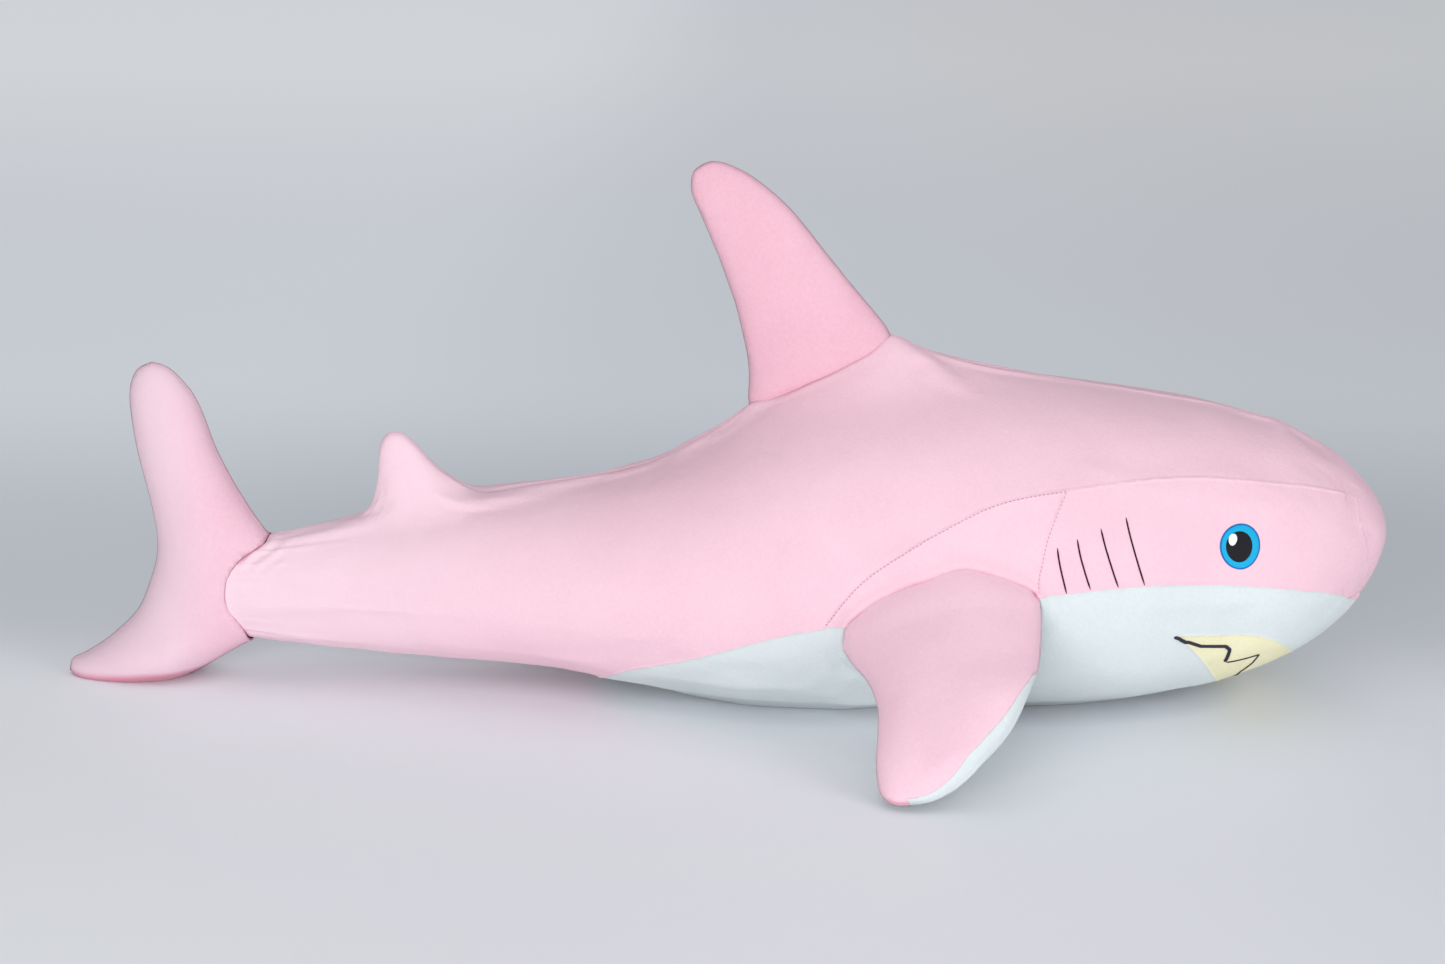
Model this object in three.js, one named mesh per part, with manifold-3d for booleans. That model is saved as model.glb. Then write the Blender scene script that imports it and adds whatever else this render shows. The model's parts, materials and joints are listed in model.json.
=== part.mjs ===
// A stuffed toy shark, sewn from fabric panels around a fibre filling.
// Millimetres, +Z up. +X points to the nose, +Y to the shark's own left side.
// The origin is on the floor, half way between nose and tail, on the centre plane.
import * as THREE from "three";
import { mergeVertices } from "three/addons/utils/BufferGeometryUtils.js";
import Module from "manifold-3d";

const wasm = await Module();
wasm.setup();

// ---------------------------------------------------------------- driving dimensions
const bodyLength = 893; // tail seam to nose tip
const bodyWidth = 270; // across the shoulders
const bodyHeight = 243; // floor to the top of the back
const spineRidge = 32; // how far the back rises under the front of the dorsal fin
const fabric = 2; // thickness of the fabric and its backing
const seamGap = 0.3; // clearance between two panels that are sewn together
const fillingGap = 2; // clearance between a cover and the filling inside it
const seamAllowance = 4; // width of the sewn rim around a fin
const threadLift = 0.5; // clearance under the embroidery
const threadHeight = 1.2; // thickness of the embroidery

const dorsal = { length: 121, height: 180, halfThickness: 19, swing: 25 };
const pectoral = { chord: 143, reach: 145, halfThickness: 27, lift: 35, press: 10, droop: 36, pitch: 12 };
const tail = { reach: 122, height: 248, halfThickness: 23, swing: 25 };
const smallFin = { halfThickness: 11 };
const eye = { halfWidth: 15.5, halfHeight: 17, pupilShare: 0.64, highlight: 3.8 };
const gill = { width: 1.8 };
const mouth = { width: 2.6 };

// The sewing pattern is drawn at this size and graded to the body's own size.
const pattern = { length: 893, width: 270, height: 243 };
const gradeX = bodyLength / pattern.length;
const gradeY = bodyWidth / pattern.width;
const gradeZ = bodyHeight / pattern.height;

// Half of the whole toy's length lies behind the origin.
const tailSeamX = tail.reach - (bodyLength + tail.reach) / 2;

// ---------------------------------------------------------------- colours
const colours = { pink: 0xf3bccd, white: 0xe9eff0, cream: 0xefe6c2, fibre: 0xf7f5f0 };
const threads = { iris: 0x0aa5e6, pupil: 0x262228, highlight: 0xf4f2f0, gill: 0x5c3344, mouth: 0x3b3a4e };

function cloth(colour) {
  return new THREE.MeshStandardMaterial({ color: colour, roughness: 0.95, metalness: 0 });
}

function thread(colour) {
  return new THREE.MeshStandardMaterial({ color: colour, roughness: 0.6, metalness: 0 });
}

// ---------------------------------------------------------------- smooth profiles
// A smooth curve through [place, value] knots, as a function of the place.
function profile(knots) {
  const slope = knots.map((knot, i) => {
    const before = knots[Math.max(i - 1, 0)];
    const after = knots[Math.min(i + 1, knots.length - 1)];
    return (after[1] - before[1]) / (after[0] - before[0]);
  });
  return (place) => {
    const last = knots.length - 2;
    const found = knots.findIndex((knot, i) => i <= last && place <= knots[i + 1][0]);
    const i = found < 0 ? last : found;
    const step = knots[i + 1][0] - knots[i][0];
    const t = THREE.MathUtils.clamp((place - knots[i][0]) / step, 0, 1);
    const t2 = t * t;
    const t3 = t2 * t;
    const ends = (2 * t3 - 3 * t2 + 1) * knots[i][1] + (3 * t2 - 2 * t3) * knots[i + 1][1];
    return ends + step * ((t3 - 2 * t2 + t) * slope[i] + (t3 - t2) * slope[i + 1]);
  };
}

// The body's cross-sections: distance forward of the tail seam, then the heights of the
// top, of the underside and of the widest level, and half the width.
const sections = [
  [0, 101, 42, 72, 26],
  [55, 112, 33, 72, 33],
  [125, 130, 25, 75, 49],
  [205, 150, 18, 81, 70],
  [285, 163, 11, 88, 90],
  [345, 180, 1, 93, 105],
  [405, 206, -10, 99, 118],
  [465, 232, -12, 104, 128],
  [525, 241, -9, 107, 135],
  [585, 243, -8, 109, 135],
  [655, 239, -6, 111, 130],
  [715, 232, 1, 113, 122],
  [765, 224, 15, 115, 111],
  [805, 212, 32, 119, 98],
  [835, 196, 51, 124, 82],
  [860, 180, 71, 128, 63],
  [878, 162, 95, 131, 43],
  [888, 148, 112, 133, 25],
  [893, 134, 132, 133, 1],
];
const topOf = profile(sections.map((row) => [row[0], row[1]]));
const undersideOf = profile(sections.map((row) => [row[0], row[2]]));
const middleOf = profile(sections.map((row) => [row[0], row[3]]));
const halfWidthOf = profile(sections.map((row) => [row[0], row[4]]));

// The raised ridge along the spine that the dorsal fin is sewn to.
const ridgeWidth = 24;
const ridgeOf = profile([
  [335, 0],
  [395, 0.12],
  [465, 0.5],
  [505, 0.88],
  [523, 1],
  [545, 0.6],
  [575, 0.25],
  [655, 0],
]);

const upperFullness = 2.15;
const lowerFullness = 2;

// A point of the body's surface at a distance along the pattern and an angle around it,
// 0 at the left side and a quarter turn at the spine.
function onBody(along, angle) {
  const c = Math.cos(angle);
  const s = Math.sin(angle);
  const power = 2 / (s >= 0 ? upperFullness : lowerFullness);
  const middle = middleOf(along);
  const reach = s >= 0 ? topOf(along) - middle : middle - undersideOf(along);
  const y = halfWidthOf(along) * Math.sign(c) * Math.abs(c) ** power;
  const ridge = s > 0 ? spineRidge * ridgeOf(along) * Math.exp(-0.5 * (y / ridgeWidth) ** 2) : 0;
  const z = (middle + reach * Math.sign(s) * Math.abs(s) ** power) * gradeZ + ridge;
  return new THREE.Vector3(tailSeamX + along * gradeX, y * gradeY, z);
}

// The outward normal there, from two short steps over the surface.
function bodyNormal(along, angle) {
  const step = 0.5;
  const ahead = Math.min(along + step, pattern.length);
  const forward = onBody(ahead, angle).sub(onBody(ahead - 2 * step, angle));
  const around = onBody(along, angle + 0.01).sub(onBody(along, angle - 0.01));
  return around.cross(forward).normalize();
}

// The surface moved outward by lift. The body rests on the floor, so it is flat there.
function liftedBody(along, angle, lift) {
  const point = onBody(along, angle).addScaledVector(bodyNormal(along, angle), lift);
  point.z = Math.max(point.z, -lift);
  return point;
}

// The angle around the body at which its right or left side passes a height.
function angleAt(along, height, side) {
  const middle = middleOf(along);
  const up = height >= middle;
  const reach = up ? topOf(along) - middle : middle - undersideOf(along);
  const share = Math.min(Math.abs(height - middle) / reach, 1);
  const lean = Math.asin(share ** ((up ? upperFullness : lowerFullness) / 2));
  const angle = up ? lean : -lean;
  return side > 0 ? angle : Math.PI - angle;
}

// ---------------------------------------------------------------- solids
// A closed three.js geometry as a solid that can be joined and cut.
function solid(geometry) {
  const bare = geometry.clone();
  bare.deleteAttribute("normal");
  bare.deleteAttribute("uv");
  const merged = mergeVertices(bare, 1e-4);
  return new wasm.Manifold(
    new wasm.Mesh({
      numProp: 3,
      vertProperties: new Float32Array(merged.attributes.position.array),
      triVerts: new Uint32Array(merged.index.array),
    }),
  );
}

function shape(piece) {
  const mesh = piece.getMesh();
  const geometry = new THREE.BufferGeometry();
  geometry.setAttribute("position", new THREE.BufferAttribute(mesh.vertProperties, 3));
  geometry.setIndex(new THREE.BufferAttribute(mesh.triVerts, 1));
  return geometry;
}

// The triangles between each ring of points and the next.
function bands(rings, count) {
  const index = [];
  for (let i = 0; i + 1 < rings; i++) {
    for (let j = 0; j < count; j++) {
      const a = i * count + j;
      const b = i * count + ((j + 1) % count);
      index.push(a, b, a + count, b, b + count, a + count);
    }
  }
  return index;
}

// A solid from points and triangles, turned right way out whichever way they run.
function outwardSolid(points, index) {
  const geometry = new THREE.BufferGeometry().setFromPoints(points);
  geometry.setIndex(index);
  const made = solid(geometry);
  if (made.volume() > 0) return made;
  geometry.setIndex([...index].reverse());
  return solid(geometry);
}

// A solid whose skin runs from ring to ring, with a flat cap at each end.
function ringedSolid(rows) {
  const count = rows[0].length;
  const points = rows.flat();
  const index = bands(rows.length, count);
  const last = rows.length - 1;
  for (const row of [0, last]) {
    const centre = new THREE.Vector3();
    rows[row].forEach((point) => centre.addScaledVector(point, 1 / count));
    points.push(centre);
    for (let j = 0; j < count; j++) {
      const a = row * count + j;
      const b = row * count + ((j + 1) % count);
      index.push(points.length - 1, row === last ? a : b, row === last ? b : a);
    }
  }
  return outwardSolid(points, index);
}

// A ring-shaped solid: its skin runs from ring to ring and ends where it began.
function loopedSolid(rows) {
  return outwardSolid(rows.flat(), bands(rows.length, rows[0].length));
}

function box(size, centre) {
  return solid(new THREE.BoxGeometry(...size).translate(...centre));
}

// A prism across the whole body, from an outline drawn on the side view.
function sidePrism(outline) {
  const reach = bodyWidth * 2;
  const drawn = new THREE.Shape(outline);
  const geometry = new THREE.ExtrudeGeometry(drawn, { depth: reach, bevelEnabled: false });
  return solid(geometry.translate(0, 0, -reach / 2).rotateX(Math.PI / 2));
}

// The same outline grown (or shrunk, with a minus) by a margin, corner by corner.
function grown(outline, margin) {
  const turn = THREE.ShapeUtils.isClockWise(outline) ? -1 : 1;
  return outline.map((point, i) => {
    const before = outline[(i + outline.length - 1) % outline.length];
    const after = outline[(i + 1) % outline.length];
    const inward = point.clone().sub(before).normalize();
    const outward = after.clone().sub(point).normalize();
    const middle = new THREE.Vector2(inward.y + outward.y, -inward.x - outward.x).multiplyScalar(turn);
    const spread = middle.length();
    return point.clone().addScaledVector(middle, (2 * margin) / (spread * spread));
  });
}

// ---------------------------------------------------------------- body
// Every layer of the body has the same facets, so the layers stay evenly apart.
const stationCount = 22;
const upperCount = 14;
const lowerCount = 8;

// Places along the body are closer together where it turns quickly.
function bodyStations() {
  const eased = profile([
    [0, 0],
    [0.4, 460],
    [0.58, 580],
    [0.76, 790],
    [1, 890.5],
  ]);
  return Array.from({ length: stationCount + 1 }, (_, i) => eased(i / stationCount));
}

function bodyAngles() {
  const angles = [];
  for (let i = 0; i < upperCount; i++) {
    const t = 1 - (2 * i) / upperCount;
    angles.push((Math.PI / 2) * (1 - Math.sign(t) * Math.abs(t) ** 1.3));
  }
  for (let i = 0; i < lowerCount; i++) {
    angles.push(Math.PI + (Math.PI * i) / lowerCount);
  }
  return angles;
}

function bodySolid(lift) {
  const angles = bodyAngles();
  const rows = bodyStations().map((along) => angles.map((angle) => liftedBody(along, angle, lift)));
  const tip = onBody(pattern.length, 0);
  const nose = rows[rows.length - 1].map((point) =>
    new THREE.Vector3(tip.x + lift - 0.4, 0, 0).add(
      new THREE.Vector3(0, point.y * 0.45, THREE.MathUtils.lerp(tip.z, point.z, 0.45)),
    ),
  );
  return ringedSolid([...rows, nose]);
}

// A point of the side view: distance forward of the tail seam and height.
function side(along, height) {
  return new THREE.Vector2(tailSeamX + along * gradeX, height * gradeZ);
}

function sideLine(points) {
  return points.map(([along, height]) => side(along, height));
}

function smooth(points, steps) {
  return new THREE.SplineCurve(sideLine(points)).getPoints(steps);
}

// Seams, as they run over the side view.
const topSeam = smooth(
  [[859, 168], [812, 183], [722, 194], [639, 188], [577, 175], [502, 131], [467, 88]],
  18,
);
const gillSeam = smooth([[639, 188], [627, 160], [622, 138], [618, 115]], 5);
const noseSeam = smooth([[859, 168], [862, 150], [868, 128], [870, 105], [866, 86]], 6);
const bellySeamFront = smooth([[900, 66], [866, 86], [833, 105], [766, 119], [697, 122], [618, 115]], 12);
const bellySeamRear = smooth(
  [[618, 115], [540, 100], [467, 88], [426, 76], [367, 53], [314, 31], [280, -5]],
  14,
);
const tailSeam = smooth([[39, 140], [38, 118], [20, 109], [10, 88], [11, 66], [24, 40], [22, 10]], 8);

const mouthOutline = [
  ...smooth([[725, 80], [755, 79], [785, 76], [806, 68], [823, 50], [836, 28]], 8),
  ...smooth([[790, 2], [768, 24], [757, 44], [742, 63], [725, 79]], 6),
];

// Where the top seam or a belly seam reaches the gill seam or the nose seam.
function nearest(line, target) {
  const distances = line.map((point) => point.distanceTo(target));
  return distances.indexOf(Math.min(...distances));
}

const gillTop = nearest(topSeam, gillSeam[0]);
const noseFoot = nearest(bellySeamFront, noseSeam[noseSeam.length - 1]);
const shoulderFoot = nearest(bellySeamRear, topSeam[topSeam.length - 1]);

const headOutline = [
  ...topSeam.slice(0, gillTop + 1),
  ...gillSeam.slice(1, -1),
  ...bellySeamFront.slice(noseFoot + 1).reverse(),
  ...noseSeam.slice(1).reverse(),
];
const shoulderOutline = [
  ...topSeam.slice(gillTop, -1),
  ...bellySeamRear.slice(0, shoulderFoot + 1).reverse(),
  ...gillSeam.slice(1, -1).reverse(),
];
const bellyOutline = [...bellySeamFront, ...bellySeamRear.slice(1), side(280, -60), side(910, -60)];
const behindTailSeam = [...tailSeam, side(22, -60), side(-260, -60), side(-260, 300), side(39, 300)];

// The small second dorsal fin is cut in one piece with the two back panels.
const smallFinLeading = [[210, 140], [197, 153], [174, 168], [156, 188], [148, 195]];
const smallFinTrailing = [[106, 115], [122, 135], [131, 152], [132, 175], [140, 194]];

// ---------------------------------------------------------------- fins
// Half of a pillow: rows run from the leading edge to the trailing edge, and its flat
// side lies on the fin's own middle plane. openness is 1 where a row starts at a root, and
// an inset pillow is also shorter at each of its tips.
function halfPillow({ leading, trailing, rows, columns, thickness, rim, inset, floorLevel, openness, tips }) {
  const lead = new THREE.SplineCurve(leading);
  const trail = new THREE.SplineCurve(trailing);
  const shortened = (inset * 1.5) / lead.getLength();
  const first = tips === 2 ? shortened : 0;
  const grid = [];
  for (let i = 0; i <= rows; i++) {
    const along = THREE.MathUtils.lerp(first, 1 - shortened, i / rows);
    const a = lead.getPoint(along);
    const b = trail.getPoint(along);
    const across = b.clone().sub(a);
    const width = across.length();
    const open = openness ? openness(along) : 0;
    const margin = Math.min(inset, width * 0.3);
    const start = a.clone().addScaledVector(across, (margin / width) * (1 - open));
    const end = b.clone().addScaledVector(across, -margin / width);
    grid.push(rowOfHeights(start, end, columns, thickness(along), rim, open, floorLevel));
  }
  return ringedSolid(grid);
}

// One cross-section of a half pillow, as a ring: over the top, then back along the flat.
function rowOfHeights(start, end, columns, thickness, rim, open, floorLevel) {
  const over = [];
  const under = [];
  for (let j = 0; j <= columns; j++) {
    const s = 0.5 - 0.5 * Math.cos((Math.PI * j) / columns);
    const closed = Math.sqrt(Math.max(0, 1 - (2 * s - 1) ** 2));
    const rooted = Math.sqrt(Math.max(0, 1 - s ** 2));
    const height = rim + thickness * THREE.MathUtils.lerp(closed, rooted, open);
    const point = start.clone().lerp(end, s);
    over.push(new THREE.Vector3(point.x, point.y, height));
    under.push(new THREE.Vector3(point.x, point.y, floorLevel));
  }
  return [...over, ...under.reverse()];
}

// Both covers and the filling of a fin lying on its own XY plane, root at y = 0.
function finPieces(form) {
  const { halfThickness, thicknessAlong } = form;
  const rim = fabric / 2;
  const cut = (extra) => halfPillow({ ...form, ...extra });
  const outer = cut({
    thickness: (along) => (halfThickness - rim) * thicknessAlong(along),
    rim,
    inset: 0,
    floorLevel: seamGap / 2,
  });
  const hollow = cut({
    thickness: (along) => (halfThickness - rim - fabric) * thicknessAlong(along),
    rim: 0,
    inset: seamAllowance,
    floorLevel: -1,
  });
  const fill = cut({
    thickness: (along) => (halfThickness - rim - fabric - fillingGap) * thicknessAlong(along),
    rim: 0,
    inset: seamAllowance + fillingGap,
    floorLevel: -1,
  });
  const cover = outer.subtract(hollow);
  const mirrored = new THREE.Matrix4().makeScale(1, 1, -1);
  return { cover, otherCover: placed(cover, mirrored), filling: fill.add(placed(fill, mirrored)) };
}

function placed(piece, matrix) {
  const geometry = shape(piece).applyMatrix4(matrix);
  if (matrix.determinant() < 0) {
    const index = geometry.index.array;
    for (let i = 0; i < index.length; i += 3) [index[i], index[i + 1]] = [index[i + 1], index[i]];
  }
  return solid(geometry);
}

function turned(piece, pivot, axis, degrees) {
  const matrix = new THREE.Matrix4().makeTranslation(pivot)
    .multiply(new THREE.Matrix4().makeRotationAxis(axis, THREE.MathUtils.degToRad(degrees)))
    .multiply(new THREE.Matrix4().makeTranslation(pivot.clone().negate()));
  return placed(piece, matrix);
}

// A fin bends at its root seam, so its root is shaped to stay clear of the body at every
// angle from one limit to the other.
function clearOfBody(pieces, body, pivot, axis, angles) {
  const cleared = {};
  for (const [name, piece] of Object.entries(pieces)) {
    cleared[name] = angles.reduce((rest, angle) => rest.subtract(turned(body, pivot, axis, -angle)), piece);
  }
  return cleared;
}

// What would hang below the floor is pressed flat on it.
function aboveFloor(pieces) {
  const floor = box([bodyLength * 2, bodyWidth * 4, 100], [0, 0, -50]);
  return Object.fromEntries(Object.entries(pieces).map(([name, piece]) => [name, piece.subtract(floor)]));
}

function points2(list, scaleX, scaleY) {
  return list.map(([u, v]) => new THREE.Vector2(u * scaleX, v * scaleY));
}

const mirrorY = new THREE.Matrix4().makeScale(1, -1, 1);
const finClearance = 0.4;
const bodyForFins = bodySolid(finClearance).subtract(sidePrism(grown(behindTailSeam, -finClearance)));

// Dorsal fin: leading and trailing edges as shares of the root length and of the height.
const dorsalLeading = [
  [1.04, -0.1], [1.02, 0.03], [0.95, 0.25], [0.86, 0.51],
  [0.78, 0.71], [0.67, 0.86], [0.57, 0.95], [0.47, 1],
];
const dorsalTrailing = [
  [-0.04, -0.1], [0, 0.03], [0.13, 0.2], [0.22, 0.42],
  [0.26, 0.62], [0.28, 0.83], [0.29, 0.95], [0.37, 1],
];
const dorsalRoot = { front: 523, back: 411 };

function dorsalFin() {
  const front = onBody(dorsalRoot.front, Math.PI / 2);
  const back = onBody(dorsalRoot.back, Math.PI / 2);
  const forward = front.clone().sub(back).setY(0).normalize();
  const form = {
    leading: points2(dorsalLeading, dorsal.length, dorsal.height),
    trailing: points2(dorsalTrailing, dorsal.length, dorsal.height),
    rows: 9,
    columns: 6,
    tips: 1,
    halfThickness: dorsal.halfThickness,
    thicknessAlong: profile([[0, 1], [0.3, 0.95], [0.6, 0.75], [0.85, 0.5], [1, 0.2]]),
  };
  const upward = new THREE.Vector3(-forward.z, 0, forward.x);
  const frame = new THREE.Matrix4().makeBasis(forward, upward, new THREE.Vector3(0, -1, 0));
  frame.setPosition(back);
  return placedFin(form, frame, back, forward, [-dorsal.swing, 0, dorsal.swing]);
}

function placedFin(form, frame, pivot, axis, angles) {
  const flat = finPieces(form);
  const inPlace = {};
  for (const [name, piece] of Object.entries(flat)) inPlace[name] = placed(piece, frame);
  return clearOfBody(inPlace, bodyForFins, pivot, axis, angles);
}

// Left pectoral fin: it leaves the flank, droops to the floor and rests its tip there.
const pectoralLeading = [
  [0.53, -0.2], [0.49, 0.06], [0.45, 0.24], [0.37, 0.42],
  [0.23, 0.59], [0.07, 0.76], [-0.12, 0.9], [-0.28, 0.98],
];
const pectoralTrailing = [
  [-0.56, -0.2], [-0.46, 0.06], [-0.4, 0.24], [-0.39, 0.42],
  [-0.41, 0.59], [-0.44, 0.76], [-0.44, 0.9], [-0.36, 0.98],
];
const pectoralRoot = { along: 552, height: 98, hingeRise: 14 };

function pectoralFrame() {
  const pitch = THREE.MathUtils.degToRad(pectoral.pitch);
  const droop = THREE.MathUtils.degToRad(pectoral.droop);
  const chordwise = new THREE.Vector3(Math.cos(pitch), 0, Math.sin(pitch));
  const outward = new THREE.Vector3(0.13, Math.cos(droop), -Math.sin(droop));
  outward.addScaledVector(chordwise, -outward.dot(chordwise)).normalize();
  const up = chordwise.clone().cross(outward);
  const angle = angleAt(pectoralRoot.along, pectoralRoot.height, 1);
  const root = onBody(pectoralRoot.along, angle);
  return { chordwise, outward, up, root };
}

function pectoralFin() {
  const { chordwise, outward, up, root } = pectoralFrame();
  const form = {
    leading: points2(pectoralLeading, pectoral.chord, pectoral.reach),
    trailing: points2(pectoralTrailing, pectoral.chord, pectoral.reach),
    rows: 8,
    columns: 6,
    tips: 1,
    halfThickness: pectoral.halfThickness,
    thicknessAlong: profile([[0, 1.05], [0.25, 0.98], [0.5, 0.72], [0.8, 0.42], [1, 0.15]]),
  };
  const frame = new THREE.Matrix4().makeBasis(chordwise, outward, up).setPosition(root);
  const pivot = root.clone().setZ(root.z + pectoralRoot.hingeRise);
  const fin = placedFin(form, frame, pivot, chordwise, [-pectoral.press, 0, pectoral.lift]);
  return aboveFloor(fin);
}

// Tail fin: rows run from the upper lobe's tip to the lower lobe's tip.
const tailLeading = [
  [-0.31, 0.995], [-0.1, 0.9], [0.05, 0.76], [0.18, 0.61], [0.3, 0.47], [0.39, 0.37],
  [0.38, 0.25], [0.11, 0.165], [-0.25, 0.045], [-0.57, 0.01], [-0.93, 0.003],
];
const tailTrailing = [
  [-0.39, 0.99], [-0.49, 0.88], [-0.47, 0.75], [-0.42, 0.61], [-0.385, 0.485], [-0.39, 0.4],
  [-0.43, 0.32], [-0.52, 0.215], [-0.7, 0.12], [-0.87, 0.05], [-1, 0.01],
];

function tailFin() {
  const shift = new THREE.Vector2(tailSeamX, 0);
  const sized = (list) => points2(list, tail.reach, tail.height).map((point) => point.add(shift));
  const form = {
    leading: sized(tailLeading),
    trailing: sized(tailTrailing),
    rows: 15,
    columns: 6,
    tips: 2,
    halfThickness: tail.halfThickness,
    thicknessAlong: profile([
      [0, 0.15], [0.12, 0.45], [0.3, 0.8], [0.45, 1], [0.6, 1], [0.75, 0.75], [0.9, 0.4], [1, 0.12],
    ]),
    openness: (along) => THREE.MathUtils.smoothstep(0.17 - Math.abs(along - 0.54), 0, 0.07),
  };
  const frame = new THREE.Matrix4().makeRotationX(Math.PI / 2);
  const pivot = new THREE.Vector3(side(16, 0).x, 0, 0);
  const axis = new THREE.Vector3(0, 0, 1);
  const fin = placedFin(form, frame, pivot, axis, [-tail.swing, 0, tail.swing]);
  return aboveFloor(fin);
}

// ---------------------------------------------------------------- body pieces
function smallFinSolid(halfThickness, inset) {
  const half = halfPillow({
    leading: sideLine(smallFinLeading),
    trailing: sideLine(smallFinTrailing),
    rows: 5,
    columns: 6,
    tips: 1,
    thickness: profile([[0, halfThickness], [0.6, halfThickness * 0.75], [1, halfThickness * 0.3]]),
    rim: inset > 0 ? 0 : fabric / 2,
    inset,
    floorLevel: -1,
  });
  const upright = new THREE.Matrix4().makeRotationX(Math.PI / 2);
  const right = placed(half, upright);
  return right.add(placed(right, mirrorY));
}

function bodyPieces() {
  const outside = bodySolid(0).add(smallFinSolid(smallFin.halfThickness, 0));
  const inside = bodySolid(-fabric).add(smallFinSolid(smallFin.halfThickness - fabric, seamAllowance));
  const openTail = sidePrism(grown(behindTailSeam, seamGap));
  const shell = outside.subtract(inside).subtract(openTail);
  const sideBox = [bodyLength * 2, bodyWidth, bodyHeight * 4];
  const half = (sign) => box(sideBox, [0, (sign * (bodyWidth + seamGap)) / 2, 0]);
  const panel = (outline) => shell.intersect(sidePrism(grown(outline, -seamGap / 2)));
  const back = [headOutline, shoulderOutline, bellyOutline].reduce(
    (rest, outline) => rest.subtract(sidePrism(grown(outline, seamGap / 2))),
    shell,
  );
  const head = panel(headOutline);
  const shoulder = panel(shoulderOutline);
  const belly = panel(bellyOutline).subtract(sidePrism(grown(mouthOutline, seamGap / 2)));
  const filling = bodySolid(-fabric - fillingGap).subtract(sidePrism(grown(behindTailSeam, 6)));
  return { half, back, head, shoulder, belly, mouth: panel(mouthOutline), filling };
}

// ---------------------------------------------------------------- embroidery
// A satin-stitched line on the body's surface, through [along, angle] places.
function stitchedLine(places, width) {
  const points = places.map(([along, angle]) => onBody(along, angle));
  const rings = places.map(([along, angle], i) => {
    const before = points[Math.max(i - 1, 0)];
    const after = points[Math.min(i + 1, points.length - 1)];
    const normal = bodyNormal(along, angle);
    const across = after.clone().sub(before).cross(normal).setLength(width / 2);
    return [
      [1, threadLift],
      [1, threadLift + threadHeight],
      [-1, threadLift + threadHeight],
      [-1, threadLift],
    ].map(([sign, lift]) => points[i].clone().addScaledVector(across, sign).addScaledVector(normal, lift));
  });
  return ringedSolid(rings);
}

function gillPlaces(points, sign) {
  const line = new THREE.SplineCurve(points.map(([along, height]) => new THREE.Vector2(along, height)));
  return line.getPoints(7).map((point) => [point.x, angleAt(point.x, point.y, sign)]);
}

const gillLines = [
  [[633, 151], [635, 139], [640, 118]],
  [[647, 157], [650, 143], [657, 121]],
  [[664, 164], [668, 149], [677, 122]],
  [[682, 171], [686, 155], [696, 123]],
];

// The mouth is a saw-toothed line from one cheek, under the chin, to the other.
function mouthLine() {
  const teeth = [
    [722, 79], [745, 68], [765, 68], [761, 55], [787, 57],
    [777, 45], [801, 44], [786, 33], [808, 34],
  ];
  const places = teeth.flatMap((tooth, i) => {
    const next = teeth[i + 1];
    if (!next) return [tooth];
    return [tooth, [(tooth[0] + next[0]) / 2, (tooth[1] + next[1]) / 2]];
  });
  const left = places.map(([along, height]) => [along, angleAt(along, height, 1)]);
  const right = places.map(([along, height]) => [along, angleAt(along, height, -1) - 2 * Math.PI]);
  return [...left, [796, -Math.PI / 2], ...right.reverse()];
}

// A flat pad of stitches around a place on the head, between two ellipses.
function eyePad(sign, centre, inner, outer, base) {
  const steps = 14;
  const at = (radius, i, lift) => {
    const turn = (i / steps) * Math.PI * 2;
    const along = centre[0] + (radius * eye.halfWidth * Math.cos(turn)) / gradeX;
    const height = centre[1] + (radius * eye.halfHeight * Math.sin(turn)) / gradeZ;
    return liftedBody(along, angleAt(along, height, sign), lift);
  };
  const ring = (radius, lift) => Array.from({ length: steps }, (_, i) => at(radius, i, lift));
  if (inner === 0) {
    const rings = [0.3, 0.65, 1].map((share) => ring(share * outer, base));
    const tops = [1, 0.65, 0.3].map((share) => ring(share * outer, base + threadHeight));
    return ringedSolid([...rings, ...tops]);
  }
  const loop = [
    ring(inner, base),
    ring(outer, base),
    ring(outer, base + threadHeight),
    ring(inner, base + threadHeight),
    ring(inner, base),
  ];
  return loopedSolid(loop);
}

// ---------------------------------------------------------------- the assembly
const group = new THREE.Group();

function addPiece(name, piece, material) {
  const mesh = new THREE.Mesh(shape(piece), material);
  mesh.name = name;
  group.add(mesh);
}

const sides = [
  ["left", 1],
  ["right", -1],
];

const body = bodyPieces();
addPiece("body_filling", body.filling, cloth(colours.fibre));
addPiece("belly_panel", body.belly, cloth(colours.white));
addPiece("mouth_panel", body.mouth, cloth(colours.cream));
addPiece("mouth_stitching", stitchedLine(mouthLine(), mouth.width), thread(threads.mouth));

const eyeCentre = [766, 147];
const highlightCentre = [760, 152];
for (const [name, sign] of sides) {
  const half = body.half(sign);
  addPiece(`back_panel_${name}`, body.back.intersect(half), cloth(colours.pink));
  addPiece(`head_side_panel_${name}`, body.head.intersect(half), cloth(colours.pink));
  addPiece(`shoulder_panel_${name}`, body.shoulder.intersect(half), cloth(colours.pink));
  gillLines.forEach((line, i) => {
    const stitches = stitchedLine(gillPlaces(line, sign), gill.width);
    addPiece(`gill_stitch_${name}_${i + 1}`, stitches, thread(threads.gill));
  });
  const rim = eye.pupilShare + seamGap / eye.halfWidth;
  const onTop = threadLift + threadHeight + seamGap;
  const iris = eyePad(sign, eyeCentre, rim, 1, threadLift);
  const pupil = eyePad(sign, eyeCentre, 0, eye.pupilShare, threadLift);
  addPiece(`eye_iris_${name}`, iris, thread(threads.iris));
  addPiece(`eye_pupil_${name}`, pupil, thread(threads.pupil));
  const spot = eye.highlight / eye.halfWidth;
  addPiece(`eye_highlight_${name}`, eyePad(sign, highlightCentre, 0, spot, onTop), thread(threads.highlight));
}

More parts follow.
